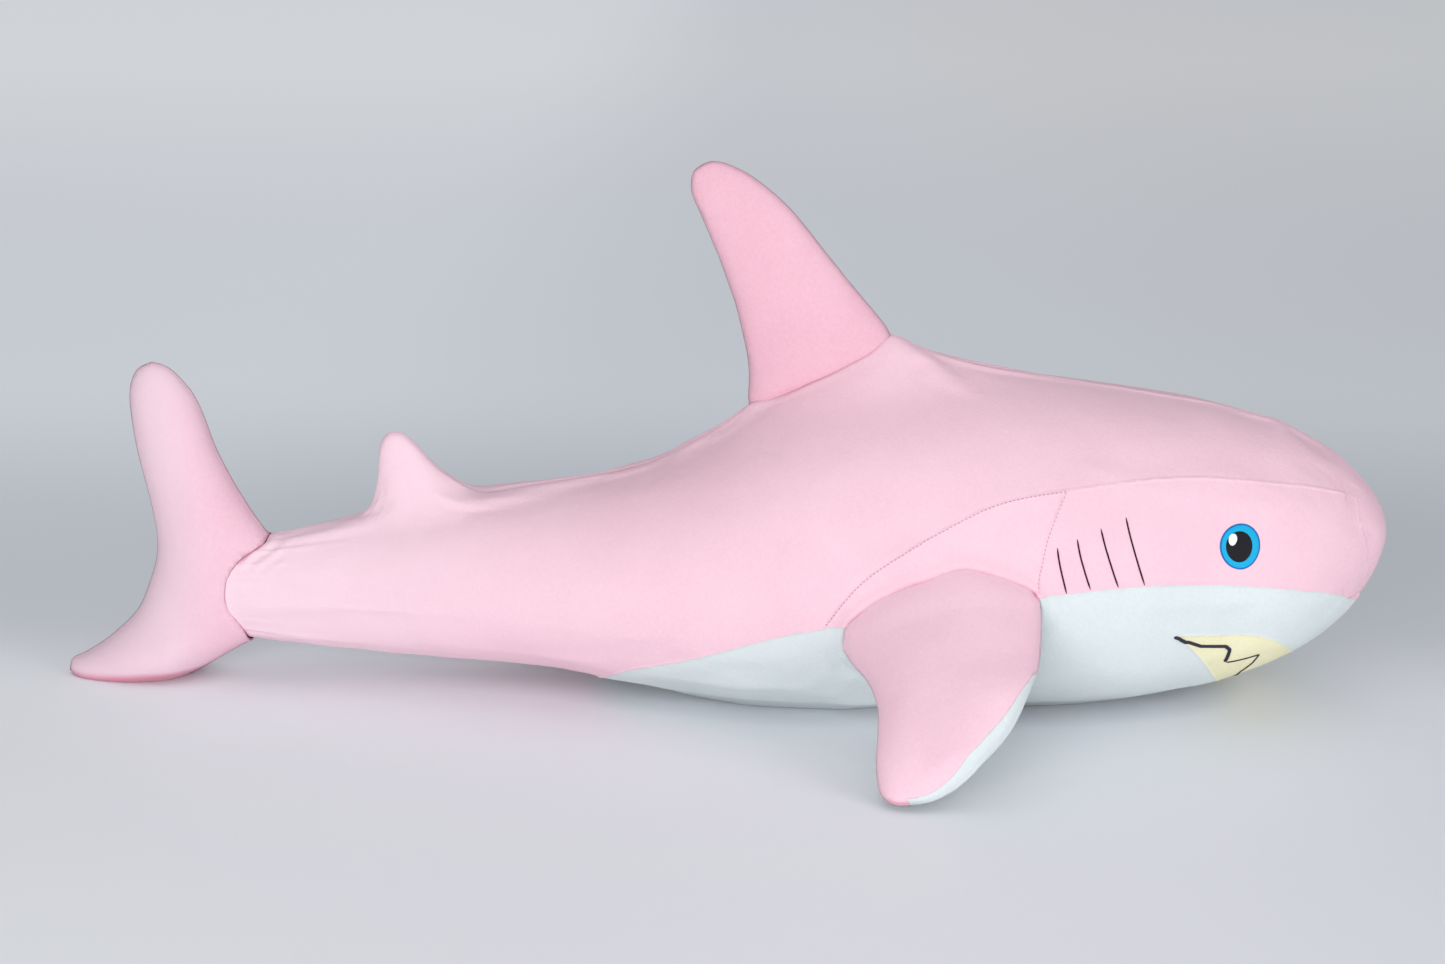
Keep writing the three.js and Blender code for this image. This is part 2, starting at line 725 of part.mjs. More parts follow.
const dorsalPieces = dorsalFin();
addPiece("dorsal_fin_cover_right", dorsalPieces.cover, cloth(colours.pink));
addPiece("dorsal_fin_cover_left", dorsalPieces.otherCover, cloth(colours.pink));
addPiece("dorsal_fin_filling", dorsalPieces.filling, cloth(colours.fibre));

const tailPieces = tailFin();
addPiece("tail_fin_cover_right", tailPieces.cover, cloth(colours.pink));
addPiece("tail_fin_cover_left", tailPieces.otherCover, cloth(colours.pink));
addPiece("tail_fin_filling", tailPieces.filling, cloth(colours.fibre));

const pectoralPieces = pectoralFin();
for (const [name, sign] of sides) {
  const here = (piece) => (sign > 0 ? piece : placed(piece, mirrorY));
  addPiece(`pectoral_fin_top_cover_${name}`, here(pectoralPieces.cover), cloth(colours.pink));
  addPiece(`pectoral_fin_under_cover_${name}`, here(pectoralPieces.otherCover), cloth(colours.white));
  addPiece(`pectoral_fin_filling_${name}`, here(pectoralPieces.filling), cloth(colours.fibre));
}

export default group;
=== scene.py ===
"""Looks of the stuffed toy shark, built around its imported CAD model.

Shapes are worked out in millimetres in the CAD frame, and become metres when a mesh is made.
A place on the body is written as in the sewing pattern: distance forward of the tail seam
("along") and height above the floor.
"""

import json
import math

import bpy
import numpy as np
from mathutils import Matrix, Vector, noise
from mathutils.bvhtree import BVHTree
from mathutils.kdtree import KDTree


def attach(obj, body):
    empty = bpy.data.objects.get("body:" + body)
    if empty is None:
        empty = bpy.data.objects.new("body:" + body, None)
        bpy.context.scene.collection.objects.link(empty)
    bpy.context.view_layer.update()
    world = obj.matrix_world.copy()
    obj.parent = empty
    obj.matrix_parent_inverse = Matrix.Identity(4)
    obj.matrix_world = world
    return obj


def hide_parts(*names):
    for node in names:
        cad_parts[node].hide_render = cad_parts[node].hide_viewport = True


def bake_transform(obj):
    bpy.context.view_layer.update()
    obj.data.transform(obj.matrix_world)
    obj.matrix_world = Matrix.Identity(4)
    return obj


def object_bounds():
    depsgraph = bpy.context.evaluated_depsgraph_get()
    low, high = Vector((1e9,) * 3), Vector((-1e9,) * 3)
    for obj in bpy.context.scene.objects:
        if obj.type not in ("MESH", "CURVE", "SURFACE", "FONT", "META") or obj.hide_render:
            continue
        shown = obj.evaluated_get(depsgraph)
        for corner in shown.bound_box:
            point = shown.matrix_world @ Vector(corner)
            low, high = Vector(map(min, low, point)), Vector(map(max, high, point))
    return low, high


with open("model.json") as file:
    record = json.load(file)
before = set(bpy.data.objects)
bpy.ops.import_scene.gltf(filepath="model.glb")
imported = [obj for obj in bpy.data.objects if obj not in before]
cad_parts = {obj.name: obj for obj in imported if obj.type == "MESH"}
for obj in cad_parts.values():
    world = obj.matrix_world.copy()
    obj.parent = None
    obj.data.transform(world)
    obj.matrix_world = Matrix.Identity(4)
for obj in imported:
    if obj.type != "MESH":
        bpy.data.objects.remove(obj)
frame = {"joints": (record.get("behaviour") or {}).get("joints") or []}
cad_low, cad_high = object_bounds()

MM = 0.001
PATTERN_LENGTH = 892.6  # tail seam to the nose of the faceted CAD body
TAIL_SEAM_X = cad_high.x / MM - PATTERN_LENGTH
HINGES = {joint["name"]: joint for joint in frame["joints"]}
SIDES = {"left": 1, "right": -1}

# ---------------------------------------------------------------- curves


def profile(knots):
    """A smooth curve through (place, value) knots."""
    x, y = np.array(knots, float).T
    slope = np.empty(len(x))
    slope[1:-1] = (y[2:] - y[:-2]) / (x[2:] - x[:-2])
    slope[0] = (y[1] - y[0]) / (x[1] - x[0])
    slope[-1] = (y[-1] - y[-2]) / (x[-1] - x[-2])

    def at(place):
        i = np.clip(np.searchsorted(x, place, side="right") - 1, 0, len(x) - 2)
        step = x[i + 1] - x[i]
        t = np.clip((place - x[i]) / step, 0, 1)
        ends = y[i] * (2 * t**3 - 3 * t**2 + 1) + y[i + 1] * (3 * t**2 - 2 * t**3)
        return ends + step * (slope[i] * (t**3 - 2 * t**2 + t) + slope[i + 1] * (t**3 - t**2))

    return at


def spline(points):
    """A smooth curve through points, as a function of the knot number."""
    p = np.array(points, float)
    q = np.vstack([p[:1], p, p[-1:]])

    def at(knot):
        knot = np.atleast_1d(knot)
        i = np.clip(knot.astype(int), 0, len(p) - 2)
        t = (knot - i)[:, None]
        a, b, c, d = q[i], q[i + 1], q[i + 2], q[i + 3]
        v0, v1 = (c - a) / 2, (d - b) / 2
        return (2 * b - 2 * c + v0 + v1) * t**3 + (3 * c - 3 * b - 2 * v0 - v1) * t**2 + v0 * t + b

    return at


def smooth_line(points, steps=8):
    return spline(points)(np.linspace(0, len(points) - 1, (len(points) - 1) * steps + 1))


def smoothstep(value, low, high):
    t = np.clip((value - low) / (high - low), 0, 1)
    return t * t * (3 - 2 * t)


def travelled(path):
    """How far along a path each of its points is."""
    return np.r_[0, np.cumsum(np.linalg.norm(np.diff(path, axis=0), axis=1))]


def at_reach(where, reach, values):
    """A path's values, one row for each of its points, at other distances along it."""
    return np.stack([np.interp(where, reach, column) for column in values.T], -1)


def resampled(points, count):
    """Points evenly spaced along a polyline."""
    reach = travelled(points)
    return at_reach(np.linspace(0, reach[-1], count), reach, points)


def unit(v):
    return v / np.maximum(np.linalg.norm(v, axis=-1, keepdims=True), 1e-12)


def inside_distance(points, outline):
    """Distance from each point to a closed outline, positive inside."""
    a, b = outline, np.roll(outline, -1, axis=0)
    ab = b - a
    found = np.empty(len(points))
    for first in range(0, len(points), 5000):
        p = points[first : first + 5000, None]
        t = np.clip(((p - a) * ab).sum(2) / np.maximum((ab * ab).sum(1), 1e-12), 0, 1)
        gap = np.linalg.norm(p - a - t[..., None] * ab, axis=2).min(1)
        x, y = p[..., 0], p[..., 1]
        rise = np.where(ab[:, 1] == 0, 1e-12, ab[:, 1])
        spans = (a[:, 1] > y) != (b[:, 1] > y)
        crossed = spans & (x < ab[:, 0] * (y - a[:, 1]) / rise + a[:, 0])
        found[first : first + 5000] = np.where(crossed.sum(1) % 2 == 1, gap, -gap)
    return found


# ---------------------------------------------------------------- pattern
# The body's cross-sections: distance forward of the tail seam, then the heights of the
# top, of the underside and of the widest level, and half the width.
SECTIONS = [
    (0, 108, 38, 72, 27), (55, 118, 28, 72, 34), (125, 134, 21, 75, 49),
    (205, 150, 17, 81, 70), (285, 163, 11, 88, 90), (345, 180, 1, 93, 105),
    (405, 206, -10, 99, 118), (465, 232, -12, 104, 128), (525, 243, -9, 107, 135),
    (585, 246, -8, 109, 135), (655, 242, -6, 111, 130), (715, 234, 1, 113, 122),
    (765, 225, 13, 115, 111), (805, 213, 28, 119, 98), (835, 198, 43, 124, 82),
    (860, 181, 63, 128, 63), (878, 162, 91, 131, 43), (888, 148, 111, 133, 25),
    (893, 134, 132, 133, 1),
]
top_of, underside_of, middle_of, half_width_of = (
    profile([(row[0], row[k]) for row in SECTIONS]) for k in range(1, 5)
)
RIDGE_HEIGHT, RIDGE_WIDTH = 35, 24
ridge_of = profile(
    [
        (335, 0), (385, 0.14), (411, 0.34), (465, 0.62), (505, 0.94), (520, 0.97), (536, 0.72),
        (560, 0.42), (595, 0.18), (655, 0.04), (700, 0),
    ]
)
UPPER_FULLNESS, LOWER_FULLNESS = 2.15, 2.0


def on_body(along, angle):
    """(y, z) of the body's surface. Angle 0 is its widest level, a quarter turn its spine."""
    c, s = np.cos(angle), np.sin(angle)
    power = np.where(s >= 0, 2 / UPPER_FULLNESS, 2 / LOWER_FULLNESS)
    middle = middle_of(along)
    reach = np.where(s >= 0, top_of(along) - middle, middle - underside_of(along))
    y = half_width_of(along) * np.sign(c) * np.abs(c) ** power
    ridge = RIDGE_HEIGHT * ridge_of(along) * np.exp(-0.5 * (y / RIDGE_WIDTH) ** 2)
    return y, middle + reach * np.sign(s) * np.abs(s) ** power + np.where(s > 0, ridge, 0)


def half_width_at(along, height):
    """How far out the body's side is at a height."""
    middle = middle_of(along)
    up = height >= middle
    reach = np.where(up, top_of(along) - middle, middle - underside_of(along))
    fullness = np.where(up, UPPER_FULLNESS, LOWER_FULLNESS)
    share = np.clip(np.abs(height - middle) / reach, 0, 1)
    return half_width_of(along) * (1 - share**fullness) ** (1 / fullness)


# Seams, as they run over the side view.
TOP_SEAM = smooth_line(
    [(859, 168), (812, 183), (722, 194), (639, 188), (577, 175), (502, 131), (467, 88)]
)
GILL_SEAM = smooth_line([(639, 188), (627, 160), (622, 138), (618, 115)])
NOSE_SEAM = smooth_line([(859, 168), (862, 150), (868, 128), (870, 105), (866, 86)])
BELLY_SEAM = smooth_line(
    [
        (900, 66), (866, 86), (833, 105), (766, 119), (697, 122), (618, 115), (540, 100),
        (467, 88), (426, 76), (367, 53), (314, 31), (280, -5),
    ]
)
TAIL_SEAM = smooth_line(
    [(45, 150), (41, 117), (33, 109), (21, 101), (12, 87), (11, 66), (22, 42), (23, 10)]
)
MOUTH_PATCH = np.vstack(
    [
        smooth_line([(725, 80), (755, 79), (783, 75), (803, 65), (818, 48), (831, 28)]),
        smooth_line([(787, 2), (764, 24), (752, 44), (739, 63), (724, 79)]),
    ]
)
BELOW = -60
BELLY = np.vstack([BELLY_SEAM, [(280, BELOW), (920, BELOW), (920, 66)]])
# The side panels reach below the belly seam here, which is already cut when they are.
SIDE_PANELS = np.vstack([TOP_SEAM, [(460, 60), (500, 0), (840, 0), (862, 60)], NOSE_SEAM[::-1]])
HEAD_SIDE = np.vstack([GILL_SEAM, [(612, 60), (612, 0), (940, 0), (940, 300), (642, 300)]])
BEHIND_TAIL_SEAM = np.vstack([TAIL_SEAM, [(22, BELOW), (-260, BELOW), (-260, 300), (45, 300)]])

# The small second dorsal fin is cut in one piece with the back panels.
SMALL_FIN = np.vstack(
    [
        smooth_line(
            [
                (64, 95), (90, 119), (111, 129), (123, 143), (127, 158), (127, 174), (129, 190),
                (136, 199),
            ]
        ),
        smooth_line([(146, 199), (155, 191), (173, 170), (197, 154), (216, 138), (226, 118)]),
    ]
)
SMALL_FIN_LEAN = 0.35  # rows of the mesh lean back there, across both of the fin's edges
SMALL_FIN_THICKNESS = 12

# ---------------------------------------------------------------- meshes in numbers


def grid_triangles(rows, columns):
    a = (np.arange(rows - 1)[:, None] * columns + np.arange(columns - 1)).ravel()
    b, c, d = a + 1, a + columns, a + columns + 1
    return np.concatenate([np.stack([a, c, b], 1), np.stack([b, c, d], 1)])


def edges_of(tris):
    """Each edge's two ends once, and for each edge its two triangles (-1 where there is none)."""
    ends = np.vstack([tris[:, [0, 1]], tris[:, [1, 2]], tris[:, [2, 0]]])
    owner = np.tile(np.arange(len(tris)), 3)
    key = np.sort(ends, axis=1)
    order = np.lexsort((key[:, 1], key[:, 0]))
    key, owner, ends = key[order], owner[order], ends[order]
    first = np.r_[True, (key[1:] != key[:-1]).any(1)]
    starts = np.flatnonzero(first)
    pair = np.full((len(starts), 2), -1)
    pair[:, 0] = owner[starts]
    twice = np.flatnonzero(np.r_[~first[1:], False] & first)
    pair[np.searchsorted(starts, twice), 1] = owner[twice + 1]
    return ends[starts], pair


def doubled_areas(points, tris):
    """For each triangle a vector along its normal, as long as twice its area."""
    a, b, c = (points[tris[:, k]] for k in range(3))
    return np.cross(b - a, c - a)


def normals_of(points, tris):
    flat = doubled_areas(points, tris)
    found = np.zeros_like(points)
    for k in range(3):
        np.add.at(found, tris[:, k], flat)
    return unit(found)


def rim_of(tris, count):
    """Which of a sheet's points lie on its open edge."""
    ends, pair = edges_of(tris)
    on_rim = np.zeros(count, bool)
    on_rim[ends[pair[:, 1] < 0]] = True
    return on_rim


def cut(points, tris, group, which, outline, inner, place, tolerance=0.2):
    """Splits the triangles of one group along an outline; those inside it become group inner."""
    value = inside_distance(place(points), outline)
    side = np.sign(np.where(np.abs(value) < tolerance, 0, value)).astype(int)
    s = side[tris]
    chosen = group == which
    group = group.copy()
    group[chosen & (s.max(1) > 0) & (s.min(1) >= 0)] = inner
    mixed = chosen & (s.max(1) > 0) & (s.min(1) < 0)
    fresh, between, made, labels = [], {}, [], []

    def meet(a, b):
        key = (min(a, b), max(a, b))
        if key not in between:
            t = value[key[0]] / (value[key[0]] - value[key[1]])
            between[key] = len(points) + len(fresh)
            fresh.append(points[key[0]] * (1 - t) + points[key[1]] * t)
        return between[key]

    for tri, signs in zip(tris[mixed].tolist(), s[mixed].tolist()):
        if 0 in signs:
            k = signs.index(0)
            a, b, c = tri[k:] + tri[:k]
            m = meet(b, c)
            made += [(a, b, m), (a, m, c)]
            labels += [side[b], side[c]]
        else:
            k = next(k for k in range(3) if signs.count(signs[k]) == 1)
            a, b, c = tri[k:] + tri[:k]
            m, n = meet(a, b), meet(a, c)
            made += [(a, m, n), (m, b, c), (m, c, n)]
            labels += [side[a], side[b], side[b]]
    if not made:
        return points, tris, group
    labels = np.where(np.array(labels) > 0, inner, which)
    return (
        np.vstack([points, fresh]),
        np.vstack([tris[~mixed], made]),
        np.concatenate([group[~mixed], labels]),
    )


def refined(points, tris, group, near):
    """Halves each edge of the triangles that near marks, and closes up those beside them."""
    ends, _ = edges_of(tris[near])
    halved = {(min(e), max(e)): len(points) + i for i, e in enumerate(ends.tolist())}
    fresh = (points[ends[:, 0]] + points[ends[:, 1]]) / 2
    touched = np.zeros(len(points), bool)
    touched[ends] = True
    around = touched[tris].sum(1) >= 2
    made, labels = [], []
    for (a, b, c), label in zip(tris[around].tolist(), group[around].tolist()):
        corner, middle = (a, b, c), []
        for k in range(3):
            e = (corner[k], corner[(k + 1) % 3])
            middle.append(halved.get((min(e), max(e))))
        count = sum(m is not None for m in middle)
        if count == 0:
            parts = [(a, b, c)]
        elif count == 3:
            ab, bc, ca = middle
            parts = [(a, ab, ca), (ab, b, bc), (ca, bc, c), (ab, bc, ca)]
        elif count == 1:
            k = next(k for k in range(3) if middle[k] is not None)
            p, q, r = corner[k], corner[(k + 1) % 3], corner[(k + 2) % 3]
            parts = [(p, middle[k], r), (middle[k], q, r)]
        else:
            k = next(k for k in range(3) if middle[k] is None)
            p, q, r = corner[k], corner[(k + 1) % 3], corner[(k + 2) % 3]
            qr, rp = middle[(k + 1) % 3], middle[(k + 2) % 3]
            parts = [(p, q, qr), (p, qr, rp), (rp, qr, r)]
        made += parts
        labels += [label] * len(parts)
    return (
        np.vstack([points, fresh]),
        np.vstack([tris[~around], made]),
        np.concatenate([group[~around], labels]),
    )


def compact(tris, *arrays):
    """Only the points that the triangles use."""
    used, back = np.unique(tris, return_inverse=True)
    return (back.reshape(-1, 3), *(array[used] for array in arrays))


def nearest_distance(points, samples):
    tree = KDTree(len(samples))
    for i, sample in enumerate(samples):
        tree.insert(sample, i)
    tree.balance()
    return np.array([tree.find(p)[2] for p in points])


def along_edges(points, ends, step=0.6):
    """Points closely spaced along edges."""
    samples = []
    for a, b in zip(points[ends[:, 0]], points[ends[:, 1]]):
        count = max(1, math.ceil(np.linalg.norm(b - a) / step))
        samples.append(a + (b - a) * (np.arange(count + 1) / count)[:, None])
    return np.vstack(samples)


def rumpled(points, scale, seed):
    """Smooth noise from -1 to 1 at each point, with lumps of about scale millimetres."""
    shift = Vector((seed * 13.7, seed * 7.1, seed * 3.3))
    gain, lacunarity, octaves = 1.0, 2.0, 2
    return np.array(
        [noise.fractal(Vector(p / scale) + shift, gain, lacunarity, octaves) for p in points]
    )


def build(name, points, faces, material):
    """A smooth-shaded mesh object, from points in millimetres."""
    face_list = faces.tolist() if isinstance(faces, np.ndarray) else faces
    mesh = bpy.data.meshes.new(name)
    mesh.from_pydata((np.asarray(points) * MM).tolist(), [], face_list)
    mesh.validate()
    mesh.shade_smooth()
    mesh.materials.append(material)
    piece = bpy.data.objects.new(name, mesh)
    bpy.context.scene.collection.objects.link(piece)
    return piece


CLOTH = 1.6  # thickness of the fabric


def sewn_panel(name, points, normals, tris, material):
    """A fabric panel as a closed mesh: its face, its back, and its edge turned inward."""
    tris, points, normals = compact(tris, points, normals)
    ends, pair = edges_of(tris)
    rim = ends[pair[:, 1] < 0]
    count = len(points)
    a, b = rim[:, 0], rim[:, 1]
    faces = np.vstack(
        [
            tris,
            tris[:, ::-1] + count,
            np.stack([b, a, a + count], 1),
            np.stack([b, a + count, b + count], 1),
        ]
    )
    return build(name, np.vstack([points, points - normals * CLOTH]), faces, material)


# ---------------------------------------------------------------- materials
BLACK, CLEAR = (0, 0, 0, 1), (1, 1, 1, 1)


def srgb(red, green, blue):
    """A colour given as 0 to 255 on a screen."""
    linear = [
        c / 12.92 if c <= 0.04045 else ((c + 0.055) / 1.055) ** 2.4
        for c in (red / 255, green / 255, blue / 255)
    ]
    return (*linear, 1.0)


def new_material(name):
    """A material, its node tree and the places of the object's points."""
    material = bpy.data.materials.new(name)
    material.use_nodes = True
    tree = material.node_tree
    return material, tree, tree.nodes.new("ShaderNodeTexCoord").outputs["Object"]


def feed(tree, value, socket):
    """Links a socket to another node's output, or sets it to a plain value."""
    if isinstance(value, bpy.types.NodeSocket):
        tree.links.new(value, socket)
    else:
        socket.default_value = value


def shade(tree, values):
    """Sets the shader's inputs, by name."""
    for key, value in values.items():
        feed(tree, value, tree.nodes["Principled BSDF"].inputs[key])


def texture(tree, place, kind, output, **values):
    node = tree.nodes.new(kind)
    tree.links.new(place, node.inputs["Vector"])
    for key, value in values.items():
        node.inputs[key].default_value = value
    return node.outputs[output]


def noise_texture(tree, place, **values):
    return texture(tree, place, "ShaderNodeTexNoise", "Fac", **values)


def mixed(tree, factor, first, second, how="MIX"):
    """Two colours blended by a factor."""
    node = tree.nodes.new("ShaderNodeMix")
    node.data_type, node.blend_type = "RGBA", how
    feed(tree, factor, node.inputs["Factor"])
    sockets = [socket for socket in node.inputs if socket.type == "RGBA"]
    feed(tree, first, sockets[0])
    feed(tree, second, sockets[1])
    return next(socket for socket in node.outputs if socket.type == "RGBA")


def ramped(tree, source, stops, interpolation="LINEAR"):
    """Colours along a value, from (value, colour) stops between 0 and 1."""
    node = tree.nodes.new("ShaderNodeValToRGB")
    node.color_ramp.interpolation = interpolation
    tree.links.new(source, node.inputs["Fac"])
    while len(node.color_ramp.elements) < len(stops):
        node.color_ramp.elements.new(0.5)
    for element, (where, colour) in zip(node.color_ramp.elements, stops):
        element.position, element.color = where, colour
    return node.outputs["Color"]


def rescaled(tree, source, given, wanted=(0.0, 1.0), interpolation="LINEAR"):
    """A value taken from one range of numbers to another."""
    node = tree.nodes.new("ShaderNodeMapRange")
    node.interpolation_type = interpolation
    node.inputs["From Min"].default_value, node.inputs["From Max"].default_value = given
    node.inputs["To Min"].default_value, node.inputs["To Max"].default_value = wanted
    tree.links.new(source, node.inputs["Value"])
    return node.outputs["Result"]


def along_axis(tree, place, axis):
    node = tree.nodes.new("ShaderNodeSeparateXYZ")
    tree.links.new(place, node.inputs["Vector"])
    return node.outputs[axis]


def openness(tree, distance, samples):
    """How open the surroundings of a point are, up to a distance in metres."""
    node = tree.nodes.new("ShaderNodeAmbientOcclusion")
    node.inputs["Distance"].default_value = distance
    node.samples = samples
    return node.outputs["AO"]


def bumped(tree, source, distance, strength, under=None):
    """A fine relief, laid over another one."""
    node = tree.nodes.new("ShaderNodeBump")
    node.inputs["Distance"].default_value = distance
    node.inputs["Strength"].default_value = strength
    tree.links.new(source, node.inputs["Height"])
    if under is not None:
        tree.links.new(under, node.inputs["Normal"])
    return node.outputs["Normal"]


def fabric(name, low, mid, high, sheen, sheen_tint, pile=1.0, crease=(0.8, 0.5, 0.58), painted_sheen=None):
    """Short brushed plush: a soft pile over a knit backing, a little uneven in colour.

    Crease is the share of the low colour's red, green and blue left in a crease, as painted
    shade. The last argument is a painted sheen: where along the toy it comes in (behind,
    ahead), and the paler colour behind.
    """
    material, tree, place = new_material(name)
    # Large soft clouds where the pile leans one way or the other, short streaks of brushed
    # fibres, tufts, single fibres, and the knit backing.
    clouds = noise_texture(tree, place, Scale=16, Detail=3, Roughness=0.55)
    streaks = noise_texture(tree, place, Scale=150, Detail=4, Roughness=0.7, Distortion=0.6)
    tufts = noise_texture(tree, place, Scale=420, Detail=2, Roughness=0.6, Distortion=0.3)
    fibres = noise_texture(tree, place, Scale=1500, Detail=2, Roughness=0.6)
    knit = texture(tree, place, "ShaderNodeTexVoronoi", "Distance", Scale=850)

    colour = ramped(tree, clouds, [(0.34, low), (0.5, mid), (0.68, high)])
    for source, share, dark_until, light_from in (
        (streaks, 0.10, 0.3, 0.7), (tufts, 0.45, 0.35, 0.65), (fibres, 0.10, 0.3, 0.7),
    ):
        pattern = ramped(tree, source, [(dark_until, low), (light_from, high)])
        colour = mixed(tree, share, colour, pattern)
    # Painted sheen: a paler colour blended in towards the back, most behind, none ahead.
    if painted_sheen:
        behind, ahead, painted_sheen_colour = painted_sheen
        along = along_axis(tree, place, "X")
        turned = rescaled(tree, along, (behind, ahead), (0.7, 0.0), "SMOOTHSTEP")
        colour = mixed(tree, turned, colour, painted_sheen_colour)
    # Painted shade: where the surroundings close in within 12 mm, as in a crease, the colour
    # deepens.
    painted_crease_shade = tuple(c * share for c, share in zip(low[:3], crease)) + (1.0,)
    crease_shade_mask = ramped(tree, openness(tree, 0.012, 8), [(0.45, CLEAR), (0.85, BLACK)])

    relief = None
    for source, distance, strength in (
        (clouds, 0.0012, 0.25),
        (streaks, 0.0006, 0.35 * pile),
        (tufts, 0.0005, 0.4 * pile),
        (knit, 0.00025, 0.35 * pile),
        (fibres, 0.0002, 0.5 * pile),
    ):
        relief = bumped(tree, source, distance, strength, relief)
    shade(tree, {
        "Base Color": mixed(tree, crease_shade_mask, colour, painted_crease_shade),
        "Roughness": rescaled(tree, streaks, (0.0, 1.0), (0.86, 1.0)),
        "Specular IOR Level": 0.15,
        "Sheen Weight": sheen,
        "Sheen Roughness": 0.45,
        "Sheen Tint": sheen_tint,
        "Normal": relief,
    })
    return material


def thread(name, dark, light, roughness=0.45):
    """Embroidery thread: fine twisted strands with a soft gloss."""
    material, tree, place = new_material(name)
    strands = noise_texture(tree, place, Scale=2600, Detail=3)
    shade(tree, {
        "Base Color": ramped(tree, strands, [(0.3, dark), (0.7, light)]),
        "Normal": bumped(tree, strands, 0.00015, 0.6),
        "Roughness": roughness,
        "Specular IOR Level": 0.25,
    })
    return material


# Painted sheen: the body's pink turns paler towards the tail.
PINK = fabric(
    "pink_plush", srgb(228, 188, 202), srgb(231, 193, 206), srgb(234, 198, 210),
    sheen=0.25, sheen_tint=srgb(255, 226, 238), painted_sheen=(-0.34, -0.02, srgb(233, 206, 217)),
)
# Painted shade: a darker copy of the pink plush, for the dorsal fin.
FIN_PINK = fabric(
    "pink_plush_painted_shade", srgb(219, 170, 186), srgb(223, 176, 191), srgb(227, 183, 198),
    sheen=0.25, sheen_tint=srgb(255, 226, 238),
)
# Painted shade and painted sheen: a darker copy of the pink plush for the tail fin, paler over most
# of it away from the body.
TAIL_PINK = fabric(
    "pink_plush_painted_shade_and_sheen", srgb(222, 178, 194), srgb(226, 184, 199), srgb(230, 190, 205),
    sheen=0.25, sheen_tint=srgb(255, 232, 242), painted_sheen=(-0.43, -0.365, srgb(222, 198, 209)),
)
WHITE = fabric(
    "white_plush", srgb(204, 213, 215), srgb(209, 217, 219), srgb(214, 221, 223),
    sheen=0.15, sheen_tint=srgb(248, 252, 255), crease=(0.72, 0.74, 0.76),
)
CREAM = fabric(
    "cream_felt", srgb(224, 220, 182), srgb(230, 226, 190), srgb(235, 231, 198),
    sheen=0.1, sheen_tint=srgb(255, 252, 236), pile=0.6,
    crease=(0.8, 0.78, 0.7),
)
PINK_THREAD = thread("pink_thread", srgb(178, 112, 138), srgb(208, 148, 170), roughness=0.8)
PLUM_THREAD = thread("plum_thread", srgb(30, 8, 22), srgb(52, 20, 40), roughness=0.85)
SLATE_THREAD = thread("slate_thread", srgb(34, 30, 46), srgb(60, 56, 76), roughness=0.7)
BLUE_THREAD = thread("blue_thread", srgb(0, 150, 200), srgb(0, 176, 222), roughness=0.6)
DEEP_BLUE_THREAD = thread("deep_blue_thread", srgb(0, 84, 160), srgb(4, 110, 190), roughness=0.6)
BLACK_THREAD = thread("black_thread", srgb(8, 8, 12), srgb(24, 24, 30), roughness=0.7)
WHITE_THREAD = thread("white_thread", srgb(226, 230, 232), srgb(250, 252, 252))

# ---------------------------------------------------------------- body
CUT_OFF, BACK, HEAD, SHOULDER, UNDERSIDE, MOUTH = -1, 0, 2, 3, 4, 5  # the panels' numbers
SMALL_FIN_FROM, SMALL_FIN_TO = 70, 236  # rows that can carry the small fin
FILLET_COLUMNS, FILLET_STEPS = 34, 45  # the small fin's fillet: how wide, and how smooth
COLUMNS = 112  # points from the middle of the underside to the crest by the spine
CREST = 36  # further points over the crest to the spine


def body_rows():
    nose = 835 + 58 * np.sin(np.pi / 2 * np.arange(1, 30) / 30)
    return np.concatenate(
        [np.arange(3, 98, 3.2), np.arange(98, 240, 2.2), np.arange(240.5, 834, 3.2), nose]
    )


def small_fin_crest(row, crest):
    """The crest of a section with the small fin standing on it, or the same crest."""
    top = crest[-1, 1]
    heights = np.arange(top - 16, 201, 0.5)
    lean = SMALL_FIN_LEAN * np.maximum(heights - top, 0)
    depth = inside_distance(np.stack([row - lean, heights], 1), SMALL_FIN)
    tall = heights[depth > 0]
    if not len(tall) or tall.max() < top + 0.5:
        return crest
    fullness = SMALL_FIN_THICKNESS * (1 - 0.35 * smoothstep(heights, 150, 196))
    half = fullness * np.sqrt(1 - (1 - np.clip(depth / 12, 0, 1)) ** 2)
    flare = min(24, 0.55 * crest[0, 0])
    spread = np.exp(-np.maximum(heights - top + 3, 0) / 10)
    half = half + flare * spread * np.clip(depth / 16, 0, 1)
    half = np.minimum(half, 0.8 * crest[0, 0])
    ground = np.interp(half, crest[::-1, 0], crest[::-1, 1])
    stands = (depth > 0) & (heights > ground)
    at_crest = np.interp(crest[:, 1], heights, half)
    outside = crest[:, 0] > at_crest
    fin = np.stack([half[stands], heights[stands]], 1)
    return np.vstack([crest[outside], fin, [(0, tall.max() + 0.3)]])


